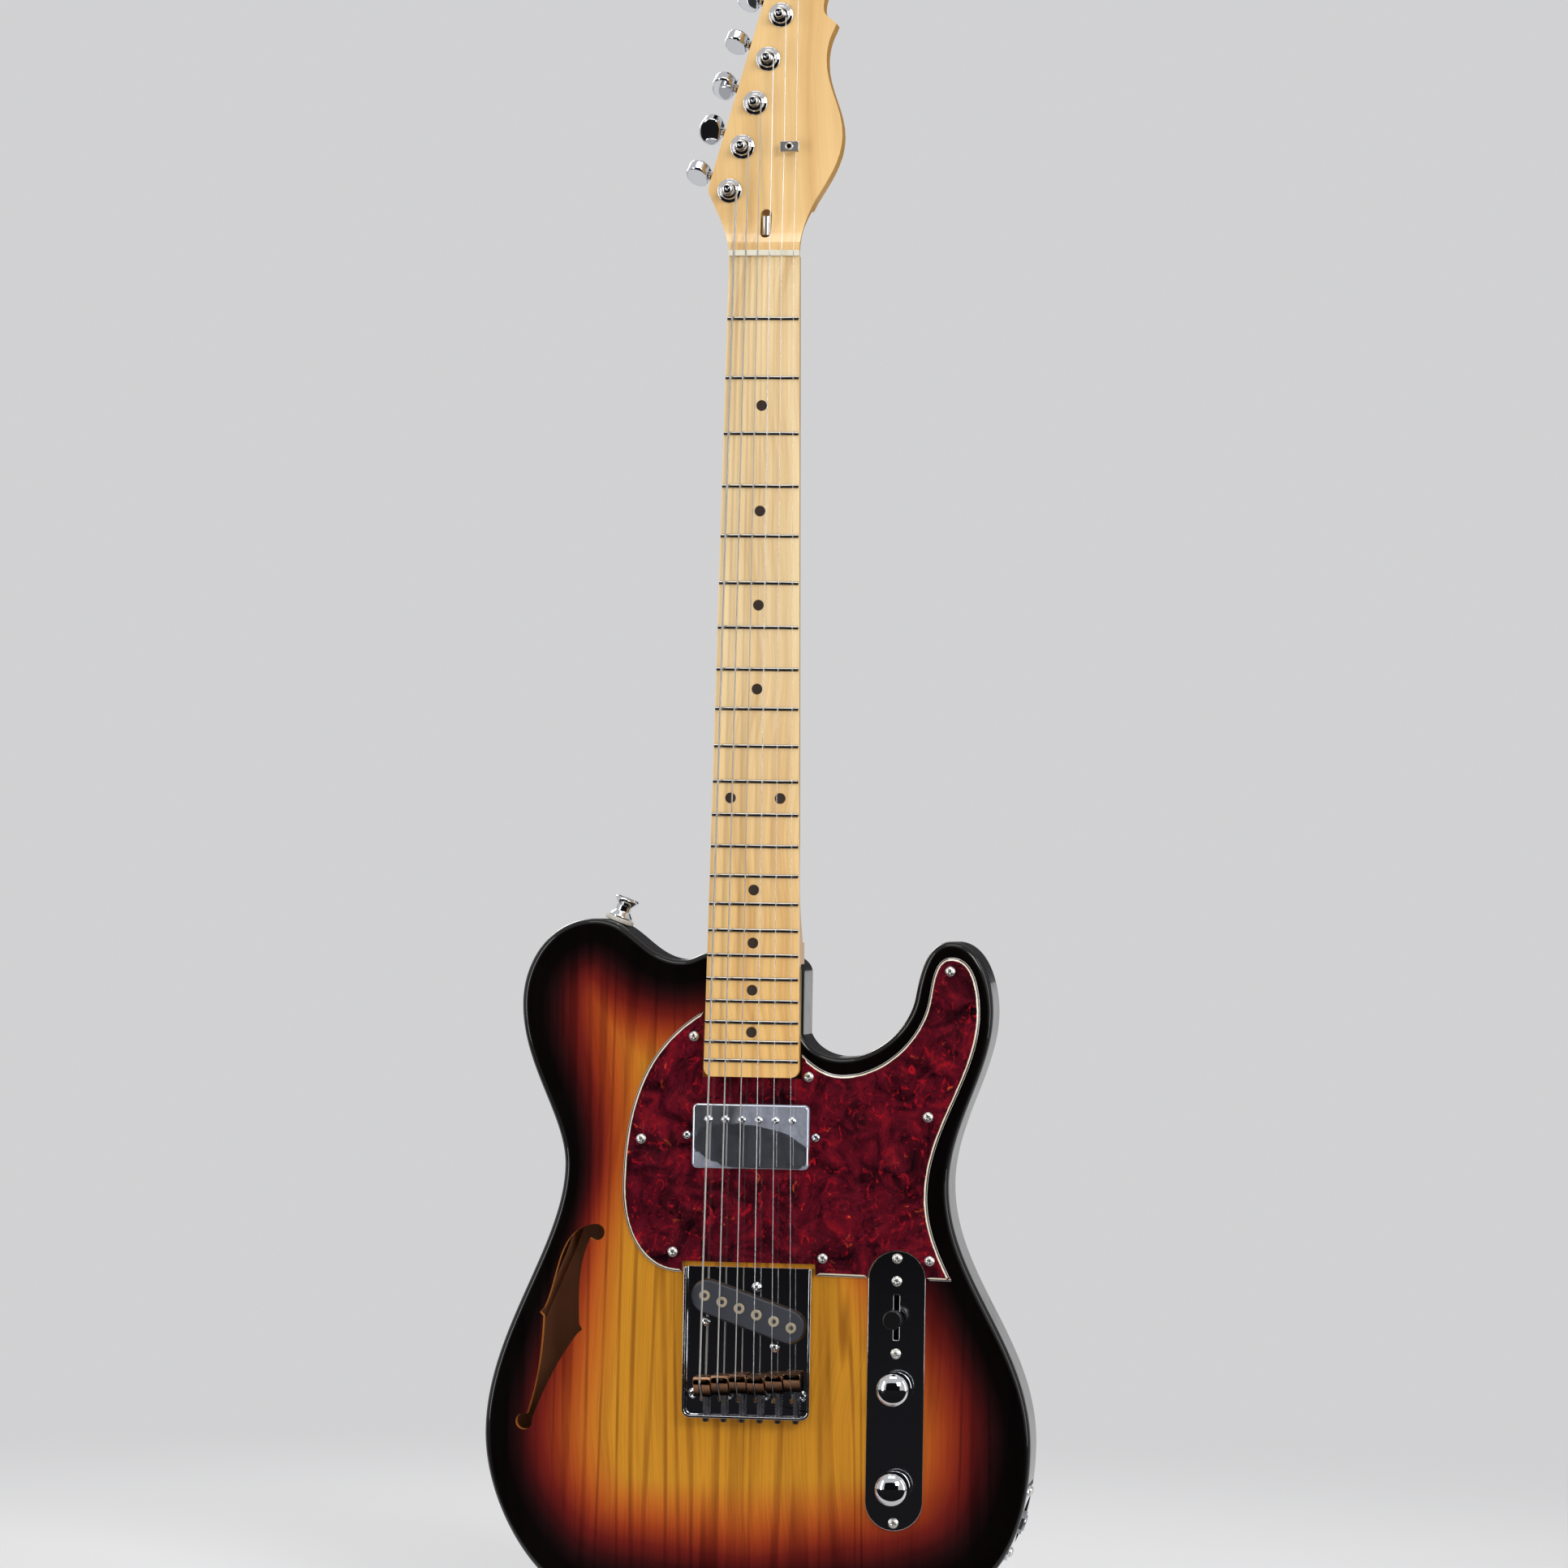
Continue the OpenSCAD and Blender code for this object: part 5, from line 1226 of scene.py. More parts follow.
def set_studs(name: str, studs: Sequence[Stud], shape: Obj, finish: str) -> Obj:
    """Sets a small shape on many places as one plain mesh.

    Args:
        name: Name of the piece.
        studs: The places.
        shape: The shape, made in millimetres round its own origin.
        finish: Name of the finish.

    Returns:
        The piece, not yet placed.
    """
    mesh = bpy.data.meshes.new(name)
    mesh.from_pydata([s.at * MM for s in studs], [], [])
    aims = mesh.attributes.new("aim", "FLOAT_VECTOR", "POINT")
    aims.data.foreach_set("vector", [c for s in studs for c in s.aim])
    store(mesh, "size", [s.size for s in studs])
    store(mesh, "spin", [math.radians(s.spin) for s in studs])
    return settle(name, grow(TREES["studs"], mesh, {"Stud": shape, "Finish": FINISH[finish]}), [finish], 35.0)


def turned(name: str, profile: Profile, finish: str, n: int, cuts: Sequence[tuple[Vector, Triple]] = ()) -> Obj:
    """Makes a turned shape round its own origin for repeating.

    Args:
        name: Name of the shape.
        profile: Radius and height of each point.
        finish: Name of the finish.
        n: Points round.
        cuts: Blocks cut out of it, as middle and size.

    Returns:
        The shape, kept off the scene.
    """
    draft = Draft()
    draft.lathe(profile, Vector(), UP, n)
    obj = draft.build(name, [finish])
    for at, size in cuts:
        carve(obj, at, size)
    bpy.context.scene.collection.objects.unlink(obj)
    return obj


def carve(piece: Obj, at: Vector, size: Triple, turn: Matrix = Matrix.Identity(3)) -> None:
    """Cuts a block out of a piece.

    Args:
        piece: The piece to cut.
        at: Middle of the block in millimetres.
        size: Its three sides in millimetres.
        turn: Turn of the block.
    """
    bpy.ops.mesh.primitive_cube_add(size=1.0)
    tool = bpy.context.object
    sides = Matrix.Diagonal((*[v * MM for v in size], 1.0))
    tool.matrix_world = Matrix.Translation(at * MM) @ turn.to_4x4() @ sides
    bpy.context.view_layer.update()
    cut = piece.modifiers.new("cut", "BOOLEAN")
    cut.operation = "DIFFERENCE"
    cut.object = tool
    cut.solver = "EXACT"
    harden(piece)
    bpy.data.objects.remove(tool)


def join(name: str, parts: Sequence[Mesh], finishes: Sequence[str]) -> Obj:
    """Joins meshes into one piece, the n-th with the n-th finish.

    Args:
        name: Name of the piece.
        parts: The meshes.
        finishes: Names of the finishes; the last serves the meshes that are left.

    Returns:
        The object.
    """
    bm = bmesh.new()
    at = 0
    for n, part in enumerate(parts):
        bm.from_mesh(part)
        bm.faces.ensure_lookup_table()
        for f in bm.faces[at:]:
            f.material_index = min(n, len(finishes) - 1)
        at = len(bm.faces)
    mesh = bpy.data.meshes.new(name)
    bm.to_mesh(mesh)
    bm.free()
    return settle(name, mesh, finishes, 40.0)


@dataclass
class CrossHead:
    """A domed screw head of 6 mm with a cross cut in it."""

    # radius and height of each point of the head and its shank
    profile: Profile = ((0.0, 1.75), (0.9, 1.7), (1.7, 1.5), (2.35, 1.1), (2.8, 0.55), (3.0, 0.12), (2.95, 0.0),
                        (1.4, -0.02), (1.4, -6.0), (0.0, -6.0))
    cross: Pair = (0.62, 3.3)  # width and length of the cross
    cut: Pair = (1.6, 1.5)  # height of the cut's middle and its depth

    def build(self) -> Obj:
        """Makes the head, kept off the scene."""
        cuts = [(UP * self.cut[0], (*arm, self.cut[1])) for arm in (self.cross, self.cross[::-1])]
        return turned("cross_head", self.profile, "chrome", 28, cuts)


@dataclass
class Strings:
    """The six strings and the places that follow from them."""

    low: float = 1.17  # thickest string
    high: float = 0.26  # thinnest string
    nut_spread: float = 34.8  # outer strings apart at the nut
    bridge_spread: float = 52.5  # outer strings apart at the saddles
    nut_action: float = 1.8  # string height at the nut
    saddle_action: float = 5.4  # string height at the saddles
    radius: float = 305.0  # crown radius of the board
    setback: float = 4.5  # how far the thickest string's saddle is set back
    shares: tuple[float, ...] = (1.0, 0.74, 0.52, 0.6, 0.3, 0.06)  # each saddle's share of that
    nut_z: Pair = (3.1, 0.4)  # upper and lower end of the nut's slots
    # where a string meets and leaves its saddle's crest, from the crest
    crest_z: Pair = (0.6, -0.4)
    hole_z: float = -14.0  # the string holes, z from the saddle line
    plate_y: float = 7.5  # depth of the bridge plate's face
    back_y: float = 53.0  # depth of the body's back
    end: float = 4.0  # how far the strings end before the back
    treed: int = 4  # first of the strings that the string tree holds down

    def thick(self, i: int) -> float:
        """Gives a string's diameter."""
        return self.low * (self.high / self.low) ** (i / 5)

    def wire(self, i: int) -> str:
        """Gives the name of a string's finish."""
        return "wound_string" if i < WOUND else "plain_string"

    def crown(self, x: float) -> float:
        """Gives how far the crowned board drops away at x."""
        return x * x / (2 * self.radius)

    def nut_x(self, i: int) -> float:
        """Gives a string's place at the nut."""
        return STRIPES[i] * self.nut_spread / 10

    def saddle_x(self, i: int) -> float:
        """Gives a string's place at the saddles."""
        return STRIPES[i] * self.bridge_spread / 10

    def back_set(self, i: int) -> float:
        """Gives how far a saddle is set back."""
        return self.setback * self.shares[i]

    def path(self, i: int, tuners: "Tuners") -> list[Vector]:
        """Gives a string's run from its winding to the back of the body.

        Args:
            i: Which string, from the thickest.
            tuners: The tuners it winds on.

        Returns:
            The points in millimetres.
        """
        nx, sx = self.nut_x(i), self.saddle_x(i)
        end = tuners.leave(i, self.thick(i))
        pts = [end]
        if i >= self.treed:
            f = tuners.tree_z / end.z
            pts.append((nx * (1 - f) + end.x * f, tuners.hook_y + self.thick(i) / 2, tuners.tree_z))
        pts += [(nx, self.crown(nx) - self.nut_action, z) for z in self.nut_z]
        top, crest = self.crown(sx) - self.saddle_action, -SCALE - self.back_set(i)
        hole = self.hole_z - SCALE
        # over the crest, down into the plate's hole and through the body
        pts += [(sx, top, crest + self.crest_z[0]), (sx, top + 0.05, crest + self.crest_z[1]),
                (sx, self.plate_y - 1.0, hole), (sx, self.plate_y + 0.6, hole - 0.1),
                (sx, self.back_y - self.end, hole - 0.1)]
        return [Vector(p) for p in pts]

    def build(self, tuners: "Tuners") -> None:
        """Makes the strings as round wire.

        Args:
            tuners: The tuners they wind on.
        """
        draft = Draft()
        for i in range(6):
            draft.tube(self.path(i, tuners), self.thick(i) / 2, mat=int(i >= WOUND))
        place(draft.build("string_wires", ["wound_string", "plain_string"], 60.0), "strings")


@dataclass
class Tuners:
    """Six tuners in a slanted row: posts and windings in front, gears and keys behind."""

    slant: float = 15.6  # slant of the row in degrees
    pitch: float = 26.6  # tuner to tuner
    first_x: float = -21.8  # first post from the centre line
    first_z: float = 38.7  # first post above the nut
    turns: int = 2  # turns of string on a post
    waist: float = 5.0  # diameter that the string winds on
    clear: float = 0.05  # clearance of the winding round the waist
    gap: float = 0.5  # clearance from turn to turn
    wind_y: float = 0.4  # depth of the windings' middle
    top_y: float = -5.0  # depth of the posts' tops
    face_y: float = 6.5  # depth of the head's face
    hook_y: float = 2.4  # depth of the string tree's underside
    # radius and height of each point of a bushing
    collar: Profile = ((3.06, 3.0), (3.4, 3.05), (4.6, 2.9), (5.0, 2.5), (5.05, 1.6), (5.5, 1.35), (6.7, 1.1),
                       (7.1, 0.8), (7.2, 0.3), (7.2, 0.0), (5.0, -0.02), (5.0, -13.0), (3.06, -13.0), (3.06, 3.0))
    # pieces that follow their CAD nodes
    eased: tuple[Eased, ...] = (
        Eased("tuner_housings", "gear_cases", "chrome", Slot.CHROME, 0.7),
        Eased("string_tree", "tree", "satin_nickel", Slot.CHROME, 0.25))

    @property
    def tree_z(self) -> float:
        """Gives the string tree's place above the nut."""
        return self.post(1).z - 0.5

    def post(self, i: int) -> Vector:
        """Gives the foot of a post's axis."""
        s, along = math.radians(self.slant), i * self.pitch
        return Vector((self.first_x + along * math.sin(s), 0.0, self.first_z + along * math.cos(s)))

    def coil_radius(self, thick: float) -> float:
        """Gives the radius of a winding's middle."""
        return self.waist / 2 + self.clear + thick / 2

    def coil_height(self, thick: float) -> float:
        """Gives the height of a winding."""
        return self.turns * (thick + self.gap)

    def leave(self, i: int, thick: float) -> Vector:
        """Gives the point where a string comes off its winding."""
        out = self.coil_radius(thick) + thick + self.gap
        return self.post(i) + Vector((out, self.wind_y + self.coil_height(thick) / 2, 0.0))

    def profile(self) -> Profile:
        """Gives radius and height of each point of a post, from the cup in its top to its foot."""
        rise, waist, face = -self.top_y, self.waist / 2, -self.face_y
        return [(0.0, rise - 1.1), (0.75, rise - 1.1), (0.85, rise - 0.1), (1.2, rise), (2.0, rise - 0.12),
                (2.7, rise - 0.5), (3.0, rise - 1.1), (2.9, rise - 1.7), (waist, rise - 2.2), (waist, face + 3.4),
                (3.0, face + 3.1), (3.0, -29.0), (0.0, -29.0)]

    def build(self, strings: Strings) -> None:
        """Makes posts with their windings, bushings, keys and housings.

        Args:
            strings: The strings that wind on the posts.
        """
        for i in range(6):
            thick, wire = strings.thick(i), strings.wire(i)
            foot, height = self.post(i), self.coil_height(thick)
            start = Matrix.Translation((foot + Vector((0.0, self.wind_y + height / 2, 0.0))) * MM)
            coil = Coil(self.coil_radius(thick), height, thick, self.turns, 40, wire)
            winding = coil.wind(start @ Matrix.Rotation(math.radians(90), 4, "X"))
            draft = Draft()
            draft.lathe(self.profile(), foot, FRONT, 40)
            shaft = draft.build(f"post_{i + 1}", ["chrome"])
            wound = join(f"wound_post_{i + 1}", [shaft.data, winding], ["chrome", wire])
            bpy.data.objects.remove(shaft)
            post, key = f"tuner_post_{i + 1}", f"tuner_key_{i + 1}"
            place(wound, post, post)
            Eased(key, f"key_{i + 1}", "chrome", Slot.CHROME, 1.4, 50.0, key).build()
        studs = [Stud(self.post(i) + Vector((0.0, self.face_y, 0.0))) for i in range(6)]
        collar = turned("collar", self.collar, "chrome", 48)
        place(set_studs("post_collars", studs, collar, "chrome"), "tuner_bushings")
        for part in self.eased:
            part.build()


@dataclass
class JackSpot:
    """Where the jack plate sits on the rim, found from its own solid."""

    mid: Vector  # middle of the plate in millimetres
    out: Vector  # direction out of the rim
    long: Vector  # direction along the rim
    inner: float  # distance from the middle to the plate's inner face
    outer: float  # distance from the middle to its outer face

    @classmethod
    def find(cls) -> "JackSpot":
        """Reads the spot from the CAD node.

        Returns:
            The spot.
        """
        pts = np.array([v.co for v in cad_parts["jack_plate"].data.vertices]) / MM
        mid = (pts.max(0) + pts.min(0)) / 2
        flat = pts[:, [0, 2]] - mid[[0, 2]]
        _, vec = np.linalg.eigh(np.cov(flat.T))
        out = vec[:, 0] if vec[0, 0] > 0 else -vec[:, 0]
        reach = flat @ out
        return cls(Vector(mid), Vector((out[0], 0.0, out[1])), Vector((vec[0, 1], 0.0, vec[1, 1])),
                   float(reach.min()), float(reach.max()))

    @property
    def frame(self) -> Matrix:
        """Gives the turn from out, depth and along to the guitar's axes."""
        return Matrix((self.out, (0.0, 1.0, 0.0), self.long)).transposed()

    def at(self, out: float, along: float) -> Vector:
        """Gives a place from its distances out of and along the rim."""
        return self.mid + self.out * out + self.long * along


@dataclass
class Body:
    """The lacquered body: a figured top with an f-hole over a hollowed core."""

    top_y: float = 9.0  # depth of the front
    core_y: float = 15.0  # depth where the top meets the core
    back_y: float = 53.0  # depth of the back
    edge: float = 4.0  # radius of the rounded rim
    chamber_wall: float = 13.0  # wall left round the hollow
    chamber_x: float = -52.0  # the hollow's edge towards the middle
    floor_y: float = 46.0  # depth of the hollow's floor
    heel_x: float = 28.8  # half the width of the neck's heel
    heel_z: float = 241.44  # upper end of the body at the heel
    waist_bass: float = 110.0  # the waist from the centre line, on the bass side
    eye: float = 4.8  # radius of the f-hole's eyes
    # middle, length and width of the control cavity, z from the saddle line
    cavity: tuple[float, float, float, float] = (86.0, -6.4, 142.0, 25.2)
    jack_room: Triple = (24.0, 28.0, 48.0)  # size of the cut behind the jack plate
    burst_width: float = 78.0  # width of the burst where nothing narrows it
    grid: float = 3.0  # spacing of the top's points, which carry the burst

    def knots(self) -> list[Knot]:
        """Gives the knots of the outline, z from the saddle line."""
        return [(-self.heel_x - 1.2, self.heel_z + 2.1, 200, 0.33), (-43.1, 239.4, 180, 0.4),
                (-94.1, 262.6, 180, 0.4), (-136.7, 213.2, 270, 0.38), (-self.waist_bass, 119, 270, 0.29),
                (-154.6, -36.2, 270, 0.36), (-118.1, -119.7, -42, 0.28), (4, -139, 0, 0.35),
                (125.0, -124.8, 26, 0.34), (164.2, -38.3, 90, 0.38), (114.6, 112.2, 90, 0.35),
                (138.9, 211.5, 90, 0.33), (114.4, 252.6, 180, 0.38), (93.7, 220.0, 260, 0.35),
                (51.5, 184.5, 180, 0.35), (self.heel_x, 197.7, 113, 0.37)]

    def outline(self, n: int = 34) -> Plan:
        """Gives the whole outline.

        Args:
            n: Points to a span.

        Returns:
            The outline, z from the nut.
        """
        x, z, knots = self.heel_x, self.heel_z, self.knots()
        heel = [(x, 197.7, 90, 0.33), (x, z - 9, 90, 0.4), (x - 9, z, 180, 0.4), knots[0]]
        return from_nut(run(knots, n) + run(heel, n // 3))

    def f_hole(self) -> list[Plan]:
        """Draws the f-hole.

        Returns:
            Its blade and its two eyes, z from the nut.
        """
        x, r = -self.waist_bass, self.eye
        blade = (run([(x + 18.6, 80.4 + r, 186, 0.4), (x - 10.4, 36, 244, 0.34)], 16)
                 + [(x - 10.4, 36), (x - 13, 33.4), (x - 10.8, 31)]
                 + run([(x - 10.8, 31, 268, 0.36), (x - 19.8, -26.5, 252, 0.36)], 12)
                 + [(x - 19.8, -26.5), (x - 16.9, -29.4)]
                 + run([(x - 16.9, -29.4, 70, 0.36), (x + 9.4, 21.4, 54, 0.34)], 12)
                 + [(x + 9.4, 21.4), (x + 12.2, 23.8), (x + 10.4, 27)]
                 + run([(x + 10.4, 27, 92, 0.36), (x + 16, 77, 66, 0.36)], 12)
                 + [(x + 16, 77), (x + 19.6, 80.4)])
        turns = [2 * math.pi * k / 40 for k in range(40)]
        eyes = [[(cx + r * math.cos(t), cz + r * math.sin(t)) for t in turns]
                for cx, cz in ((x + 19.6, 80.4), (x - 21.3, -30.3))]
        return [from_nut(loop) for loop in (blade, *eyes)]

    def chamber(self) -> Plan:
        """Gives the outline of the hollow behind the f-hole, z from the nut."""
        wall = from_nut(inset(run(self.knots(), 9), self.chamber_wall)[30:59])
        return wall + [(self.chamber_x, wall[-1][1]), (self.chamber_x, wall[0][1])]

    def burst(self, points: np.ndarray, outline: Plan) -> np.ndarray:
        """Gives how far into the burst points lie, 0 at the rim to 1 in the gold.

        The burst narrows at the bass waist, leans over on the treble side and widens at the tail's corners.

        Args:
            points: Rows of x and z.
            outline: The body's outline.

        Returns:
            The values.
        """
        x, z = points[:, 0], points[:, 1] + SCALE
        waist = np.exp(-(((z - 95) / 80) ** 2)) * np.clip((20 - x) / 80, 0, 1)
        treble = np.clip((x + 20) / 130, 0, 1) ** 2
        lean = 0.06 - 0.0022 * (np.clip(z, -120.0, 40.0) + 25.0)
        tail = np.clip((-60 - z) / 40, 0, 1) * (0.2 * np.clip(np.abs(x) / 60, 0, 1) - 0.07)
        width = self.burst_width * (1 - 0.43 * waist + lean * treble + tail)
        return np.clip(distance_to(points, outline) / width, 0, 1)

    def build(self) -> None:
        """Makes the top and the core as two closed pieces."""
        outline, hollow = self.outline(), self.chamber()
        x, z, length, width = self.cavity
        cavity = oval(x, z - SCALE, length, width, 90.0)
        holes = [*self.f_hole(), cavity]
        top = Draft()
        top.rim(outline, self.edge, self.top_y, self.core_y)
        top.walls(top.fill(inset(outline, self.edge), holes, self.top_y, step=self.grid), self.core_y, 1)
        top.fill(outline, holes, self.core_y)
        piece = top.build("burst_top", ["sunburst_ash", "cut_ash"], 50.0)
        pts = np.array([(v.co.x / MM, v.co.z / MM) for v in piece.data.vertices])
        store(piece.data, "burst", self.burst(pts, outline))
        place(piece, "body_top")
        core = Draft()
        core.rim(outline, self.edge, self.back_y, self.core_y)
        core.walls(core.fill(outline, [hollow, cavity], self.core_y), self.floor_y, 1)
        for floor in (hollow, cavity):
            core.fill(floor, [], self.floor_y, 1)
        core.fill(inset(outline, self.edge), [], self.back_y)
        piece = core.build("hollow_core", ["black_lacquer", "raw_chamber"], 50.0)
        spot = JackSpot.find()
        carve(piece, spot.at(spot.inner + self.jack_room[0] / 2, 0.0), self.jack_room, spot.frame)
        place(piece, "body_core")


@dataclass
class Guard:
    """The layered pickguard."""

    face_y: float = 6.5  # depth of its face
    back_y: float = 9.0  # depth of its back
    bevel: float = 1.8  # width of its slanted edge
    slope: float = 0.72  # depth of the slant for its width
    ply: Pair = (0.12, 0.7)  # edge value at the face, and how much the slant adds
    heel_x: float = 28.8  # half the width of the neck's heel
    neck_end: float = 172.44  # lower end of the neck, z from the saddle line
    # middle and radius of the notch round the control plate, z from the saddle line
    notch: Triple = (86.0, 57.5, 17.0)

    def outline(self) -> tuple[Plan, list[float]]:
        """Draws the guard.

        Returns:
            Its outline, z from the nut, and how much of the bevel each point takes.
        """
        left = run([(-self.heel_x - 0.2, 210, 211, 0.36), (-75, 107, 270, 0.42), (-39.4, 58.9, 2, 0.4)], 40)
        right = run([(117.4, 57.3, 117, 0.33), (102.6, 105.7, 90, 0.36), (131.6, 210.6, 90, 0.33),
                     (115.0, 243.4, 180, 0.38), (101.7, 217.6, 259, 0.35), (52, 174.5, 180, 0.35),
                     (self.heel_x, 185.9, 137, 0.36)], 30)
        x, z, r = self.notch
        notch = [(x + r * math.cos(a), z + r * math.sin(a)) for a in map(math.radians, range(178, -1, -6))]
        end = self.neck_end - 0.6
        parts = [(left[:1], 0.0), (left[1:], 1.0),
                 ([(-39.4, 58.9), (-39.0, 65.2), (38.4, 65.2), (38.8, 58.5)], 0.0),
                 ([(41.0, 58.47), (67.0, 58.07)], 1.0), (notch, 0.0), ([(105.0, 57.49), *right[:-4]], 1.0),
                 (right[-4:], 0.45), ([(self.heel_x, 185.9), (self.heel_x, end), (-self.heel_x - 0.2, end)], 0.0)]
        return from_nut(p for pts, _ in parts for p in pts), [f for pts, f in parts for _ in pts]

    def build(self) -> None:
        """Makes the guard with its layered edge, which runs out at the neck and the metal plates."""
        outline, share = self.outline()
        full = inset(outline, self.bevel)

        def moved(part: float) -> Plan:
            """Gives the outline moved in by a part of the bevel."""
            return [(x + part * f * (u - x), z + part * f * (v - z))
                    for (x, z), (u, v), f in zip(outline, full, share)]

        draft = Draft()
        rings = [draft.level(moved(f), self.face_y + self.bevel * (1 - f) * self.slope,
                             self.ply[0] + self.ply[1] * (1 - f)) for f in (1.0, 0.75, 0.5, 0.25, 0.0)]
        draft.skin([*rings, draft.level(outline, self.back_y, 1.0)])
        draft.fill(moved(1.0), [], self.face_y)
        draft.fill(outline, [], self.back_y)
        place(draft.build("guard_sheet", ["red_tortoise"], 25.0), "pickguard")


@dataclass
class NeckPickup:
    """The covered pickup in the guard."""

    width: float = 68.0  # cover width
    height: float = 37.5  # cover height
    corner: float = 3.0  # radius of its corners
    edge: float = 1.6  # radius of its front edge
    centre: float = -509.91  # its middle, z from the nut
    face_y: float = 2.0  # depth of its face
    foot_y: float = 16.5  # depth of its foot
    pole_z: float = 9.5  # the pole screws above its middle
    pitch: float = 9.75  # pole screw to pole screw
    pole_size: float = 0.82  # their heads' share of a full head
    grid: float = 3.0  # spacing of the points in its face

    def build(self, head: Obj) -> None:
        """Makes the cover with eased edges and its cross-cut pole screws.

        Args:
            head: Shape of a cross-cut screw head.
        """
        draft = Draft()
        plan = rounded(0.0, self.centre, self.width, self.height, self.corner)
        draft.block(plan, self.edge, self.face_y, self.foot_y, grid=self.grid)
        place(draft.build("silver_cover", ["peeled_cover"], 50.0), "neck_pickup_cover")
        y, z = self.face_y - 0.1, self.centre + self.pole_z
        poles = [Stud(Vector((s / 2 * self.pitch, y, z)), FRONT, self.pole_size, 20.0 * i)
                 for i, s in enumerate(STRIPES)]
        place(set_studs("pole_screws", poles, head, "chrome"), "neck_pickup_poles")


@dataclass
class Bridge:
    """The boxed bridge plate with saddles, springs and the slanted pickup."""

    back: float = 24.5  # how far the plate reaches behind the saddle line
    wall: float = 1.5  # thickness of its upright end
    tail: float = 8.0  # length of a saddle behind its crest
    # how far behind its crest a saddle stays bright, and over what length painted shade darkens it
    bright: Pair = (1.4, 6.6)
    into_y: float = 4.0  # depth of the length screws
    into_d: float = 2.2  # their diameter
    wire: float = 0.6  # spring wire diameter
    turns: int = 8  # turns of each spring
    clear: float = 0.15  # clearance of a spring round its screw and beside its string
    gap: float = 0.1  # clearance at each end of a spring
    slant: float = 19.0  # slant of the pickup in degrees
    pickup_z: float = 37.0  # its middle, z from the saddle line
    pickup_y: float = 3.5  # depth of its face
    pickup_l: float = 69.0  # its length
    pickup_w: float = 18.8  # its width
    pickup_h: float = 16.6  # its height
    edge: float = 0.9  # radius of its front edge
    spread: float = 0.965  # its poles' share of the strings' spread
    plate_y: float = 7.5  # depth of the plate's face
    screw_x: tuple[float, ...] = (-32.0, -10.7, 10.7, 32.0)  # the wood screws across
    screw_z: float = -11.0  # the wood screws, z from the saddle line
    screw_size: float = 0.97  # their heads' share of a full head
    # radius and height of each point of a pole
    pole: Profile = ((0.0, -0.9), (1.2, -0.9), (1.35, 0.1), (1.5, 0.32), (2.7, 0.38), (3.0, 0.25), (3.1, 0.0),
                     (3.1, -10.0), (0.0, -10.0))
    # pieces that follow their CAD nodes
    eased: tuple[Eased, ...] = (
        Eased("bridge_plate", "boxed_plate", "chrome", Slot.CHROME, 0.45, 35.0),
        Eased("saddle_height_screws", "height_screws", "satin_nickel", Slot.STEEL, 0.25, 40.0),
        Eased("intonation_screws", "length_screws", "dark_steel", Slot.STEEL, 0.2, 40.0))

    @property
    def coil_r(self) -> float:
        """Gives the middle radius of a spring."""
        return self.into_d / 2 + self.wire / 2 + self.clear

    def into_x(self, strings: Strings, i: int) -> float:
        """Gives a length screw's place across."""
        return strings.saddle_x(i) + self.coil_r + self.wire / 2 + strings.low / 2 + self.clear

    def pickup_spot(self, x: float, z: float, y: float) -> Vector:
        """Gives a place on the slanted pickup at a depth."""
        c, s = math.cos(math.radians(-self.slant)), math.sin(math.radians(-self.slant))
        return Vector((x * c - z * s, y, self.pickup_z + x * s + z * c - SCALE))

    def saddles(self, strings: Strings) -> None:
        """Makes the saddles, with how near each point lies to its crest stored on them for the painted shade on
        their tails.

        Args:
            strings: The strings that they carry.
        """
        piece = soft_copy("saddles", "brass_saddles", "brass", 0.18, 25.0)
        middles = [(2 * strings.saddle_x(i) + self.into_x(strings, i)) / 3 for i in range(6)]
        shade_tones = []
        for vert in piece.data.vertices:
            x, z = vert.co.x / MM, vert.co.z / MM + SCALE
            i = min(range(6), key=lambda k: abs(x - middles[k]))
            behind = -z - strings.back_set(i) - self.bright[0]
            shade_tones.append(1.0 - min(max(behind / self.bright[1], 0.0), 1.0))
        store(piece.data, "tone", shade_tones)
        place(piece, "saddles")

    def springs(self, strings: Strings) -> None:
        """Winds the springs on the length screws, from the plate's end to the saddles.

        Args:
            strings: The strings, which place the saddles.
        """
        coils = []
        start = self.wall + self.gap - self.back + self.wire / 2 - SCALE
        for i in range(6):
            length = self.back - self.wall - self.tail - strings.back_set(i) - self.wire - 2 * self.gap
            at = Vector((self.into_x(strings, i), self.into_y, start))
            coil = Coil(self.coil_r, length, self.wire, self.turns, 20, "dark_steel")
            coils.append(coil.wind(Matrix.Translation(at * MM)))
        place(join("length_springs", coils, ["dark_steel"]), "intonation_springs")

    def pickup(self, strings: Strings) -> None:
        """Makes the slanted pickup with its poles.

        Args:
            strings: The strings that the poles sit under.
        """
        draft = Draft()
        plan = oval(0.0, self.pickup_z - SCALE, self.pickup_l, self.pickup_w, -self.slant)
        draft.block(plan, self.edge, self.pickup_y, self.pickup_y + self.pickup_h, 18)
        place(draft.build("slanted_pickup", ["pickup_black"], 50.0), "bridge_pickup_cover")
        along = self.spread / math.cos(math.radians(self.slant))
        poles = [Stud(self.pickup_spot(strings.saddle_x(i) * along, 0.0, self.pickup_y)) for i in range(6)]
        pole = turned("ring_pole", self.pole, "pole_nickel", 32)
        place(set_studs("ring_poles", poles, pole, "pole_nickel"), "bridge_pickup_poles")

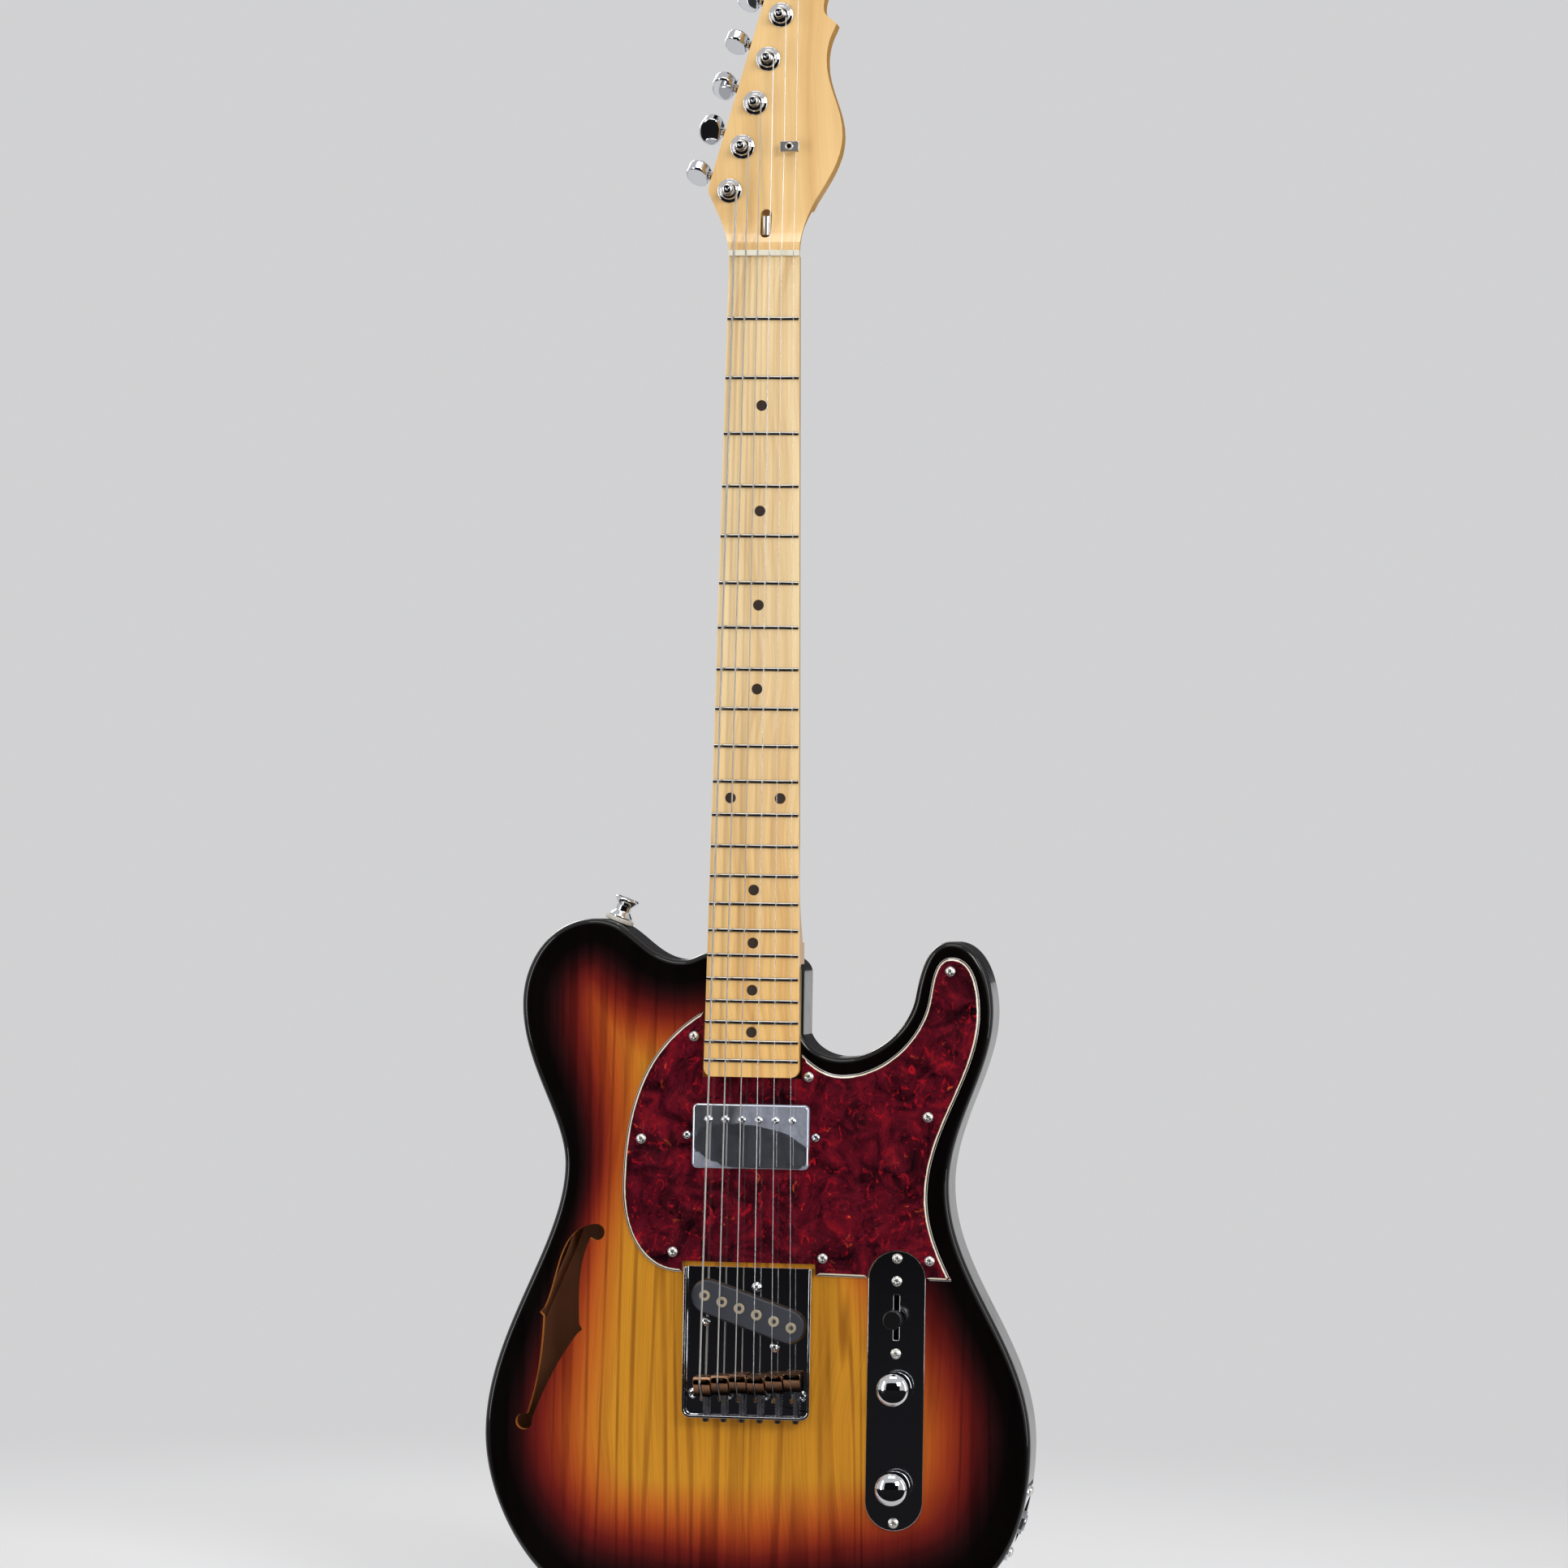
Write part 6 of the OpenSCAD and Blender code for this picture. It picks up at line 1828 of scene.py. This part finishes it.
    def build(self, strings: Strings, head: Obj) -> None:
        """Makes the plate, pickup, saddles, springs and screws.

        Args:
            strings: The strings that the saddles carry.
            head: Shape of a cross-cut screw head.
        """
        for part in self.eased:
            part.build()
        self.saddles(strings)
        self.springs(strings)
        screws = [Stud(Vector((x, self.plate_y, self.screw_z - SCALE)), FRONT, self.screw_size, 17.0 * n)
                  for n, x in enumerate(self.screw_x)]
        place(set_studs("plate_wood_screws", screws, head, "chrome"), "bridge_screws")
        self.pickup(strings)


@dataclass
class Controls:
    """The control plate with its turning knobs and selector, and the side jack."""

    x: float = 86.0  # middle of the plate across
    # each knob's body, and its z from the saddle line
    knobs: tuple[tuple[str, float], ...] = (("volume_knob", -4.8), ("tone_knob", -61.8))
    knob_d: float = 18.6  # knob diameter
    knob_h: float = 18.0  # knob height
    rise: float = 4.0  # rise of a knob's dome
    brim: float = 0.9  # radius of the dome's brim
    base_y: float = 6.7  # depth of the knobs' feet
    ribs: int = 48  # ribs round a knob
    # pieces that follow their CAD nodes
    eased: tuple[Eased, ...] = (
        Eased("control_plate", "long_plate", "chrome", Slot.CHROME, 0.45, 35.0),
        Eased("switch_lever", "blade_lever", "plain_steel", Slot.STEEL, 0.2, body="selector"),
        Eased("switch_tip", "barrel_tip", "black_plastic", Slot.BLACK, 0.9, 40.0, "selector"),
        Eased("jack_plate", "oval_jack_plate", "chrome", Slot.CHROME, 0.4, 35.0),
        Eased("jack_socket", "plug_socket", "plain_steel", Slot.STEEL, 0.2, 35.0))

    def profile(self) -> Profile:
        """Draws a knob: a dome, its brim, the ribbed wall and the hollow foot on its shaft.

        Returns:
            Radius and height of each point.
        """
        r, h, brim = self.knob_d / 2, self.knob_h, self.brim
        ball = (r * r + self.rise ** 2) / (2 * self.rise)
        dome = [(ball * math.sin(a), h - ball + ball * math.cos(a))
                for a in np.linspace(0, math.asin((r - brim) / ball), 14).tolist()]
        ease = [(r - brim + brim * math.sin(a), h - 4.6 + brim * math.cos(a))
                for a in np.linspace(0.55, math.pi / 2, 6).tolist()]
        wall = [(r, h - 5.6), (r, 1.6), (r - 0.02, 1.0), (r - 0.25, 0.35), (r - 0.6, 0.0)]
        foot = [(7.6, 0.0), (7.5, 0.1), (7.5, 3.0), (3.0, 3.0), (3.0, -8.3), (0.0, -8.3)]
        return dome + ease + wall + foot

    def build(self) -> None:
        """Makes the knobs, the plate, the selector and the jack."""
        for name, z in self.knobs:
            draft = Draft()
            draft.lathe(self.profile(), Vector((self.x, self.base_y, z - SCALE)), FRONT, 4 * self.ribs,
                        ribs=self.ribs, ribbed=self.knob_d / 2 - 0.01)
            place(draft.build(f"domed_{name}", ["chrome"], 40.0), name, name)
        for part in self.eased:
            part.build()


@dataclass
class Screws:
    """Cross-head screws over the whole guitar."""

    # guard screws as x and z from the saddle line
    guard: Profile = ((-34.5, 195.3), (-64.6, 135.3), (-45, 70.3), (32.9, 173.1), (114.2, 235.4), (102.6, 151.3),
                      (42.7, 68.6), (104.8, 68.6))
    guard_y: float = 6.5  # depth of the guard's face
    # control plate and selector screws, z from the saddle line
    plate: tuple[float, ...] = (69.6, -82.4, 56.5, 14.9)
    plate_x: float = 86.0  # middle of the control plate across
    plate_y: float = 7.5  # depth of the metal plates' faces
    jack: float = 18.6  # the jack plate's screws from its middle
    # bridge pickup screws from its middle, along and across it
    lugs: Profile = ((-0.3, 14.8), (-21.5, -14.2), (21.5, -14.2))
    lug_size: float = 0.95  # their heads' share of a full head
    ears: float = 37.6  # neck pickup screws from its middle
    ear_size: float = 0.82  # their heads' share of a full head

    def build(self, head: Obj, bridge: Bridge, pickup: NeckPickup) -> None:
        """Sets every screw that shows on the guard, the plates and the pickups.

        Args:
            head: Shape of a cross-cut screw head.
            bridge: The bridge, for its pickup's screws.
            pickup: The neck pickup, for its screws.
        """
        spot = JackSpot.find()
        studs = [Stud(Vector((x, self.guard_y, z - SCALE)), FRONT, 1.0, 23.0 * n)
                 for n, (x, z) in enumerate(self.guard)]
        studs += [Stud(Vector((self.plate_x, self.plate_y, z - SCALE)), FRONT, 1.0, 31.0 * n)
                  for n, z in enumerate(self.plate)]
        studs += [Stud(spot.at(spot.outer, self.jack * s), spot.out, 1.0, 40.0 * s) for s in (-1, 1)]
        place(set_studs("plate_screw_heads", studs, head, "satin_nickel"), "plate_screws")
        studs = [Stud(bridge.pickup_spot(x, z, bridge.plate_y), FRONT, self.lug_size, 40.0 * n)
                 for n, (x, z) in enumerate(self.lugs)]
        studs += [Stud(Vector((s * self.ears, self.guard_y, pickup.centre)), FRONT, self.ear_size, 35.0 * s)
                  for s in (-1, 1)]
        place(set_studs("pickup_screw_heads", studs, head, "chrome"), "pickup_screws")


@dataclass
class Neck:
    """Neck, board, frets and the small fixed parts, eased from the CAD solids."""

    head_z: float = 2.0  # where the head's face, painted paler as if lit, begins above the nut
    scoop_x: float = 5.0  # half the width of the slot behind the nut
    scoop_y: Pair = (6.6, 16.0)  # depths between which the slot's walls lie
    bolt_x: float = 19.05  # the neck bolts from the centre line
    bolt_z: Pair = (183.94, 234.94)  # the neck bolts, z from the saddle line
    bolt_y: float = 58.4  # depth of the middle of their crosses
    cross: Triple = (1.0, 1.8, 5.0)  # width, depth and length of a cross
    # pieces that follow their CAD nodes
    eased: tuple[Eased, ...] = (
        Eased("fingerboard", "board", "board_maple", Slot.BOARD, 0.25, 40.0),
        Eased("frets", "fret_wires", "fret_wire", Slot.FRET, 0.0, 40.0),
        Eased("nut", "bone_nut", "bone", Slot.BONE, 0.15, 40.0),
        Eased("position_dots", "dots", "dot_fibre", Slot.BLACK),
        Eased("neck_plate", "back_plate", "chrome", Slot.CHROME, 0.5, 35.0),
        Eased("string_ferrules", "ferrules", "chrome", Slot.CHROME, 0.3, 35.0),
        Eased("strap_buttons", "turned_buttons", "chrome", Slot.CHROME, 0.3, 35.0),
        Eased("strap_washers", "felt_rings", "felt", Slot.FELT, 0.6, 35.0))

    def wood(self) -> None:
        """Makes the neck with painted light: the head's front faces and the walls of the slot behind the nut in a
        paler maple painted as lit, all else in the plain neck maple.
        """
        neck = soft_copy("neck", "neck_wood", "neck_maple", 0.0, 28.0)
        neck.data.materials.append(FINISH["head_maple"])
        for f in neck.data.polygons:
            c = f.center / MM
            lit_scoop = abs(c.x) < self.scoop_x and self.scoop_y[0] < c.y < self.scoop_y[1]
            # painted light: faces turned to the front and the slot's walls take the paler maple
            f.material_index = int(c.z > self.head_z and (f.normal.y < -0.2 or lit_scoop))
        place(neck, "neck")

    def bolts(self) -> None:
        """Makes the neck bolts with crosses cut in their heads."""
        bolts = soft_copy("neck_bolts", "cross_cut_bolts", "chrome")
        for x, z in [(x, z) for x in (-self.bolt_x, self.bolt_x) for z in self.bolt_z]:
            for arm in (self.cross, self.cross[::-1]):
                carve(bolts, Vector((x, self.bolt_y, z - SCALE)), arm)
        place(bolts, "neck_bolts")

    def build(self) -> None:
        """Makes each piece of the neck."""
        self.wood()
        for part in self.eased:
            part.build()
        self.bolts()


@dataclass
class Inside:
    """Pieces that stay as their CAD solids: inner works and small screws."""

    # each CAD node with the name of its finish
    finishes: tuple[tuple[str, str], ...] = (
        ("truss_rod", "satin_nickel"), ("head_screws", "chrome"), ("neck_pickup_base", "nickel_base"),
        ("neck_pickup_coils", "copper_wire"), ("pickup_magnets", "magnet_bar"), ("pickup_sleeves", "soft_rubber"),
        ("bridge_pickup_coil", "copper_wire"), ("potentiometers", "plain_steel"),
        ("selector_switch", "plain_steel"), ("strap_screws", "chrome"), ("wiring", "cloth_lead"),
        ("tone_capacitor", "dipped_film"))

    def dress(self) -> None:
        """Gives each of these CAD nodes its finish."""
        for node, finish in self.finishes:
            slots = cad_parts[node].data.materials
            slots.clear()
            slots.append(FINISH[finish])
            LOG.info("%s keeps its solid", node)


@dataclass(frozen=True)
class Lamp:
    """A soft lamp, in metres."""

    name: str  # its name
    at: Triple  # its place
    power: float  # its full power in watts
    wide: float  # its width
    high: float  # its height

    def hang(self, aim: Vector, share: float) -> None:
        """Hangs the lamp, turned to what it lights.

        Args:
            aim: What it looks at.
            share: Share of its full power that it gives.
        """
        data = bpy.data.lights.new(self.name, "AREA")
        data.shape = "RECTANGLE"
        data.energy, data.size, data.size_y = self.power * share, self.wide, self.high
        look = (aim - Vector(self.at)).to_track_quat("-Z", "Y")
        show(self.name, data).matrix_world = Matrix.Translation(self.at) @ look.to_matrix().to_4x4()


@dataclass
class Studio:
    """Pale backdrop, soft lamps and the camera, in metres."""

    eye: Triple = (0.4370118, -3.0, -0.3750024)  # camera place
    yaw: float = 0.1392  # turn to the left, in radians
    pitch: float = 0.0228  # turn upwards
    roll: float = -0.0162  # turn about the view
    focal: float = 6463.0  # focal length in pixels of a picture as wide as the next value
    wide: int = 1932  # width of that picture
    sensor: float = 36.0  # sensor width in millimetres
    paper: Colour = (0.88, 0.88, 0.885)  # colour of the floor
    floor_r: float = 5.0  # radius of the floor
    fade: Pair = (0.8, 1.5)  # where the floor begins to fade and where it is gone
    wall: Colour = (0.64, 0.64, 0.65)  # colour of the room
    room: float = 0.6  # share of the room's brightness that lights matt surfaces
    dark_y: Pair = (-0.05, -3.9)  # near and far edge of the dark card's flat part
    dark_top: float = 2.2  # top of its upright part
    lift: float = 0.004  # height of its flat part above the floor
    # depth and height of the grey card's edges and its fold
    grey: Profile = ((3.4, -0.3), (3.0, 0.5), (3.4, 1.8))
    card_x: float = 3.0  # half the cards' width
    aim: Triple = (0.0, 0.0, -0.4)  # what the lamps look at
    share: float = 0.55  # share of full power that the lamps give
    # the lamps
    lamps: tuple[Lamp, ...] = (
        Lamp("key", (1.7, -2.4, 1.0), 62.0, 1.0, 1.0), Lamp("left_strip", (-1.5, -1.1, -0.3), 26.0, 0.25, 2.0),
        Lamp("right_strip", (1.6, -0.5, -0.2), 16.0, 0.3, 1.8), Lamp("top", (0.0, -1.0, 2.0), 26.0, 1.6, 0.8),
        Lamp("back", (-1.2, 2.2, 0.9), 44.0, 0.8, 1.2))

    def camera(self) -> None:
        """Makes the camera at the photograph's angle."""
        data = bpy.data.cameras.new("eye")
        data.sensor_width = self.sensor
        data.lens = self.focal / self.wide * self.sensor
        data.clip_end = 60.0
        cam = show("eye", data)
        stand = Matrix.Translation(self.eye)
        for angle, axis in ((self.yaw, "Z"), (self.pitch, "X"), (self.roll, "Y"), (math.radians(90), "X")):
            stand = stand @ Matrix.Rotation(angle, 4, axis)
        cam.matrix_world = stand
        bpy.context.scene.camera = cam

    def sheet(self, name: str, verts: Sequence[Vector], faces: Sequence[tuple[int, ...]], colour: Colour) -> Obj:
        """Makes a matt stage surface.

        Args:
            name: Its name.
            verts: Its points in metres.
            faces: Its faces.
            colour: Its colour.

        Returns:
            The surface.
        """
        mesh = bpy.data.meshes.new(name)
        mesh.from_pydata(verts, [], faces)
        mesh.shade_smooth()
        mat = bpy.data.materials.new(name)
        mat.use_nodes = True
        shader = mat.node_tree.nodes["Principled BSDF"]
        shader.inputs["Base Color"].default_value = (*colour, 1.0)
        shader.inputs["Roughness"].default_value = 0.95
        shader.inputs["Specular IOR Level"].default_value = 0.0
        mesh.materials.append(mat)
        obj = show(name, mesh)
        return obj

    def floor(self, z: float, n: int = 96) -> None:
        """Makes the pale floor that fades into the room.

        Args:
            z: Its height.
            n: Points round.
        """
        turns = [2 * math.pi * k / n for k in range(n)]
        verts = [Vector((self.floor_r * math.cos(t), self.floor_r * math.sin(t), z)) for t in turns]
        paper = self.sheet("pale_floor", verts, [tuple(range(n))], self.paper)
        desk = Desk(paper.data.materials[0].node_tree)
        where = desk.add("ShaderNodeTexCoord").outputs["Object"]
        reach = desk.add("ShaderNodeVectorMath", {0: where}, operation="LENGTH").outputs["Value"]
        fade = desk.add("ShaderNodeMapRange", {0: reach, 1: self.fade[0], 2: self.fade[1]},
                        interpolation_type="SMOOTHSTEP")
        clear = desk.add("ShaderNodeBsdfTransparent")
        shader, out = desk.tree.nodes["Principled BSDF"], desk.tree.nodes["Material Output"]
        gone = desk.add("ShaderNodeMixShader", {0: fade.outputs[0], 1: shader.outputs[0], 2: clear.outputs[0]})
        desk.link(gone.outputs[0], out.inputs["Surface"])

    def cards(self, z: float) -> None:
        """Makes the cards that only polished faces mirror.

        Args:
            z: Height of the floor.
        """
        front = [*((y, z + self.lift) for y in self.dark_y), (self.dark_y[1], self.dark_top)]
        for name, side, colour in (("dark_card", front, (0.012, 0.012, 0.014)),
                                   ("grey_card", self.grey, (0.1, 0.1, 0.105))):
            verts = [Vector((x, y, up)) for y, up in side for x in (-self.card_x, self.card_x)]
            card = self.sheet(name, verts, [(0, 1, 3, 2), (2, 3, 5, 4)], colour)
            card.visible_camera = card.visible_diffuse = card.visible_shadow = False

    def world(self) -> None:
        """Makes the pale room, which lights matt surfaces less than it shows."""
        world = bpy.data.worlds.new("room")
        bpy.context.scene.world = world
        world.use_nodes = True
        desk = Desk(world.node_tree)
        path = desk.add("ShaderNodeLightPath").outputs
        seen = desk.math("MAXIMUM", path["Is Camera Ray"], path["Is Glossy Ray"])
        seen = desk.math("MAXIMUM", seen, path["Is Transmission Ray"])
        ground = world.node_tree.nodes["Background"]
        ground.inputs["Color"].default_value = (*self.wall, 1.0)
        desk.link(desk.levels(seen, 0.0, 1.0, self.room, 1.0), ground.inputs["Strength"])

    def build(self) -> None:
        """Sets up camera, light and backdrop."""
        floor_z = CAD_BOX[0][2] - 0.001
        self.camera()
        self.world()
        self.floor(floor_z)
        self.cards(floor_z)
        for lamp in self.lamps:
            lamp.hang(Vector(self.aim), self.share)
        bpy.context.scene.view_settings.view_transform = "Standard"


def main() -> None:
    """Builds the guitar in order and reports each piece."""
    logging.basicConfig(level=logging.INFO, format="%(name)s: %(message)s")
    make_finishes()
    TREES.update(coil=coil_tree(), studs=stud_tree())
    Studio().build()
    strings, tuners = Strings(), Tuners()
    head = CrossHead().build()
    pickup, bridge = NeckPickup(), Bridge()
    Body().build()
    Neck().build()
    tuners.build(strings)
    strings.build(tuners)
    Guard().build()
    pickup.build(head)
    bridge.build(strings, head)
    Controls().build()
    Screws().build(head, bridge, pickup)
    Inside().dress()


if __name__ == "__main__":
    main()
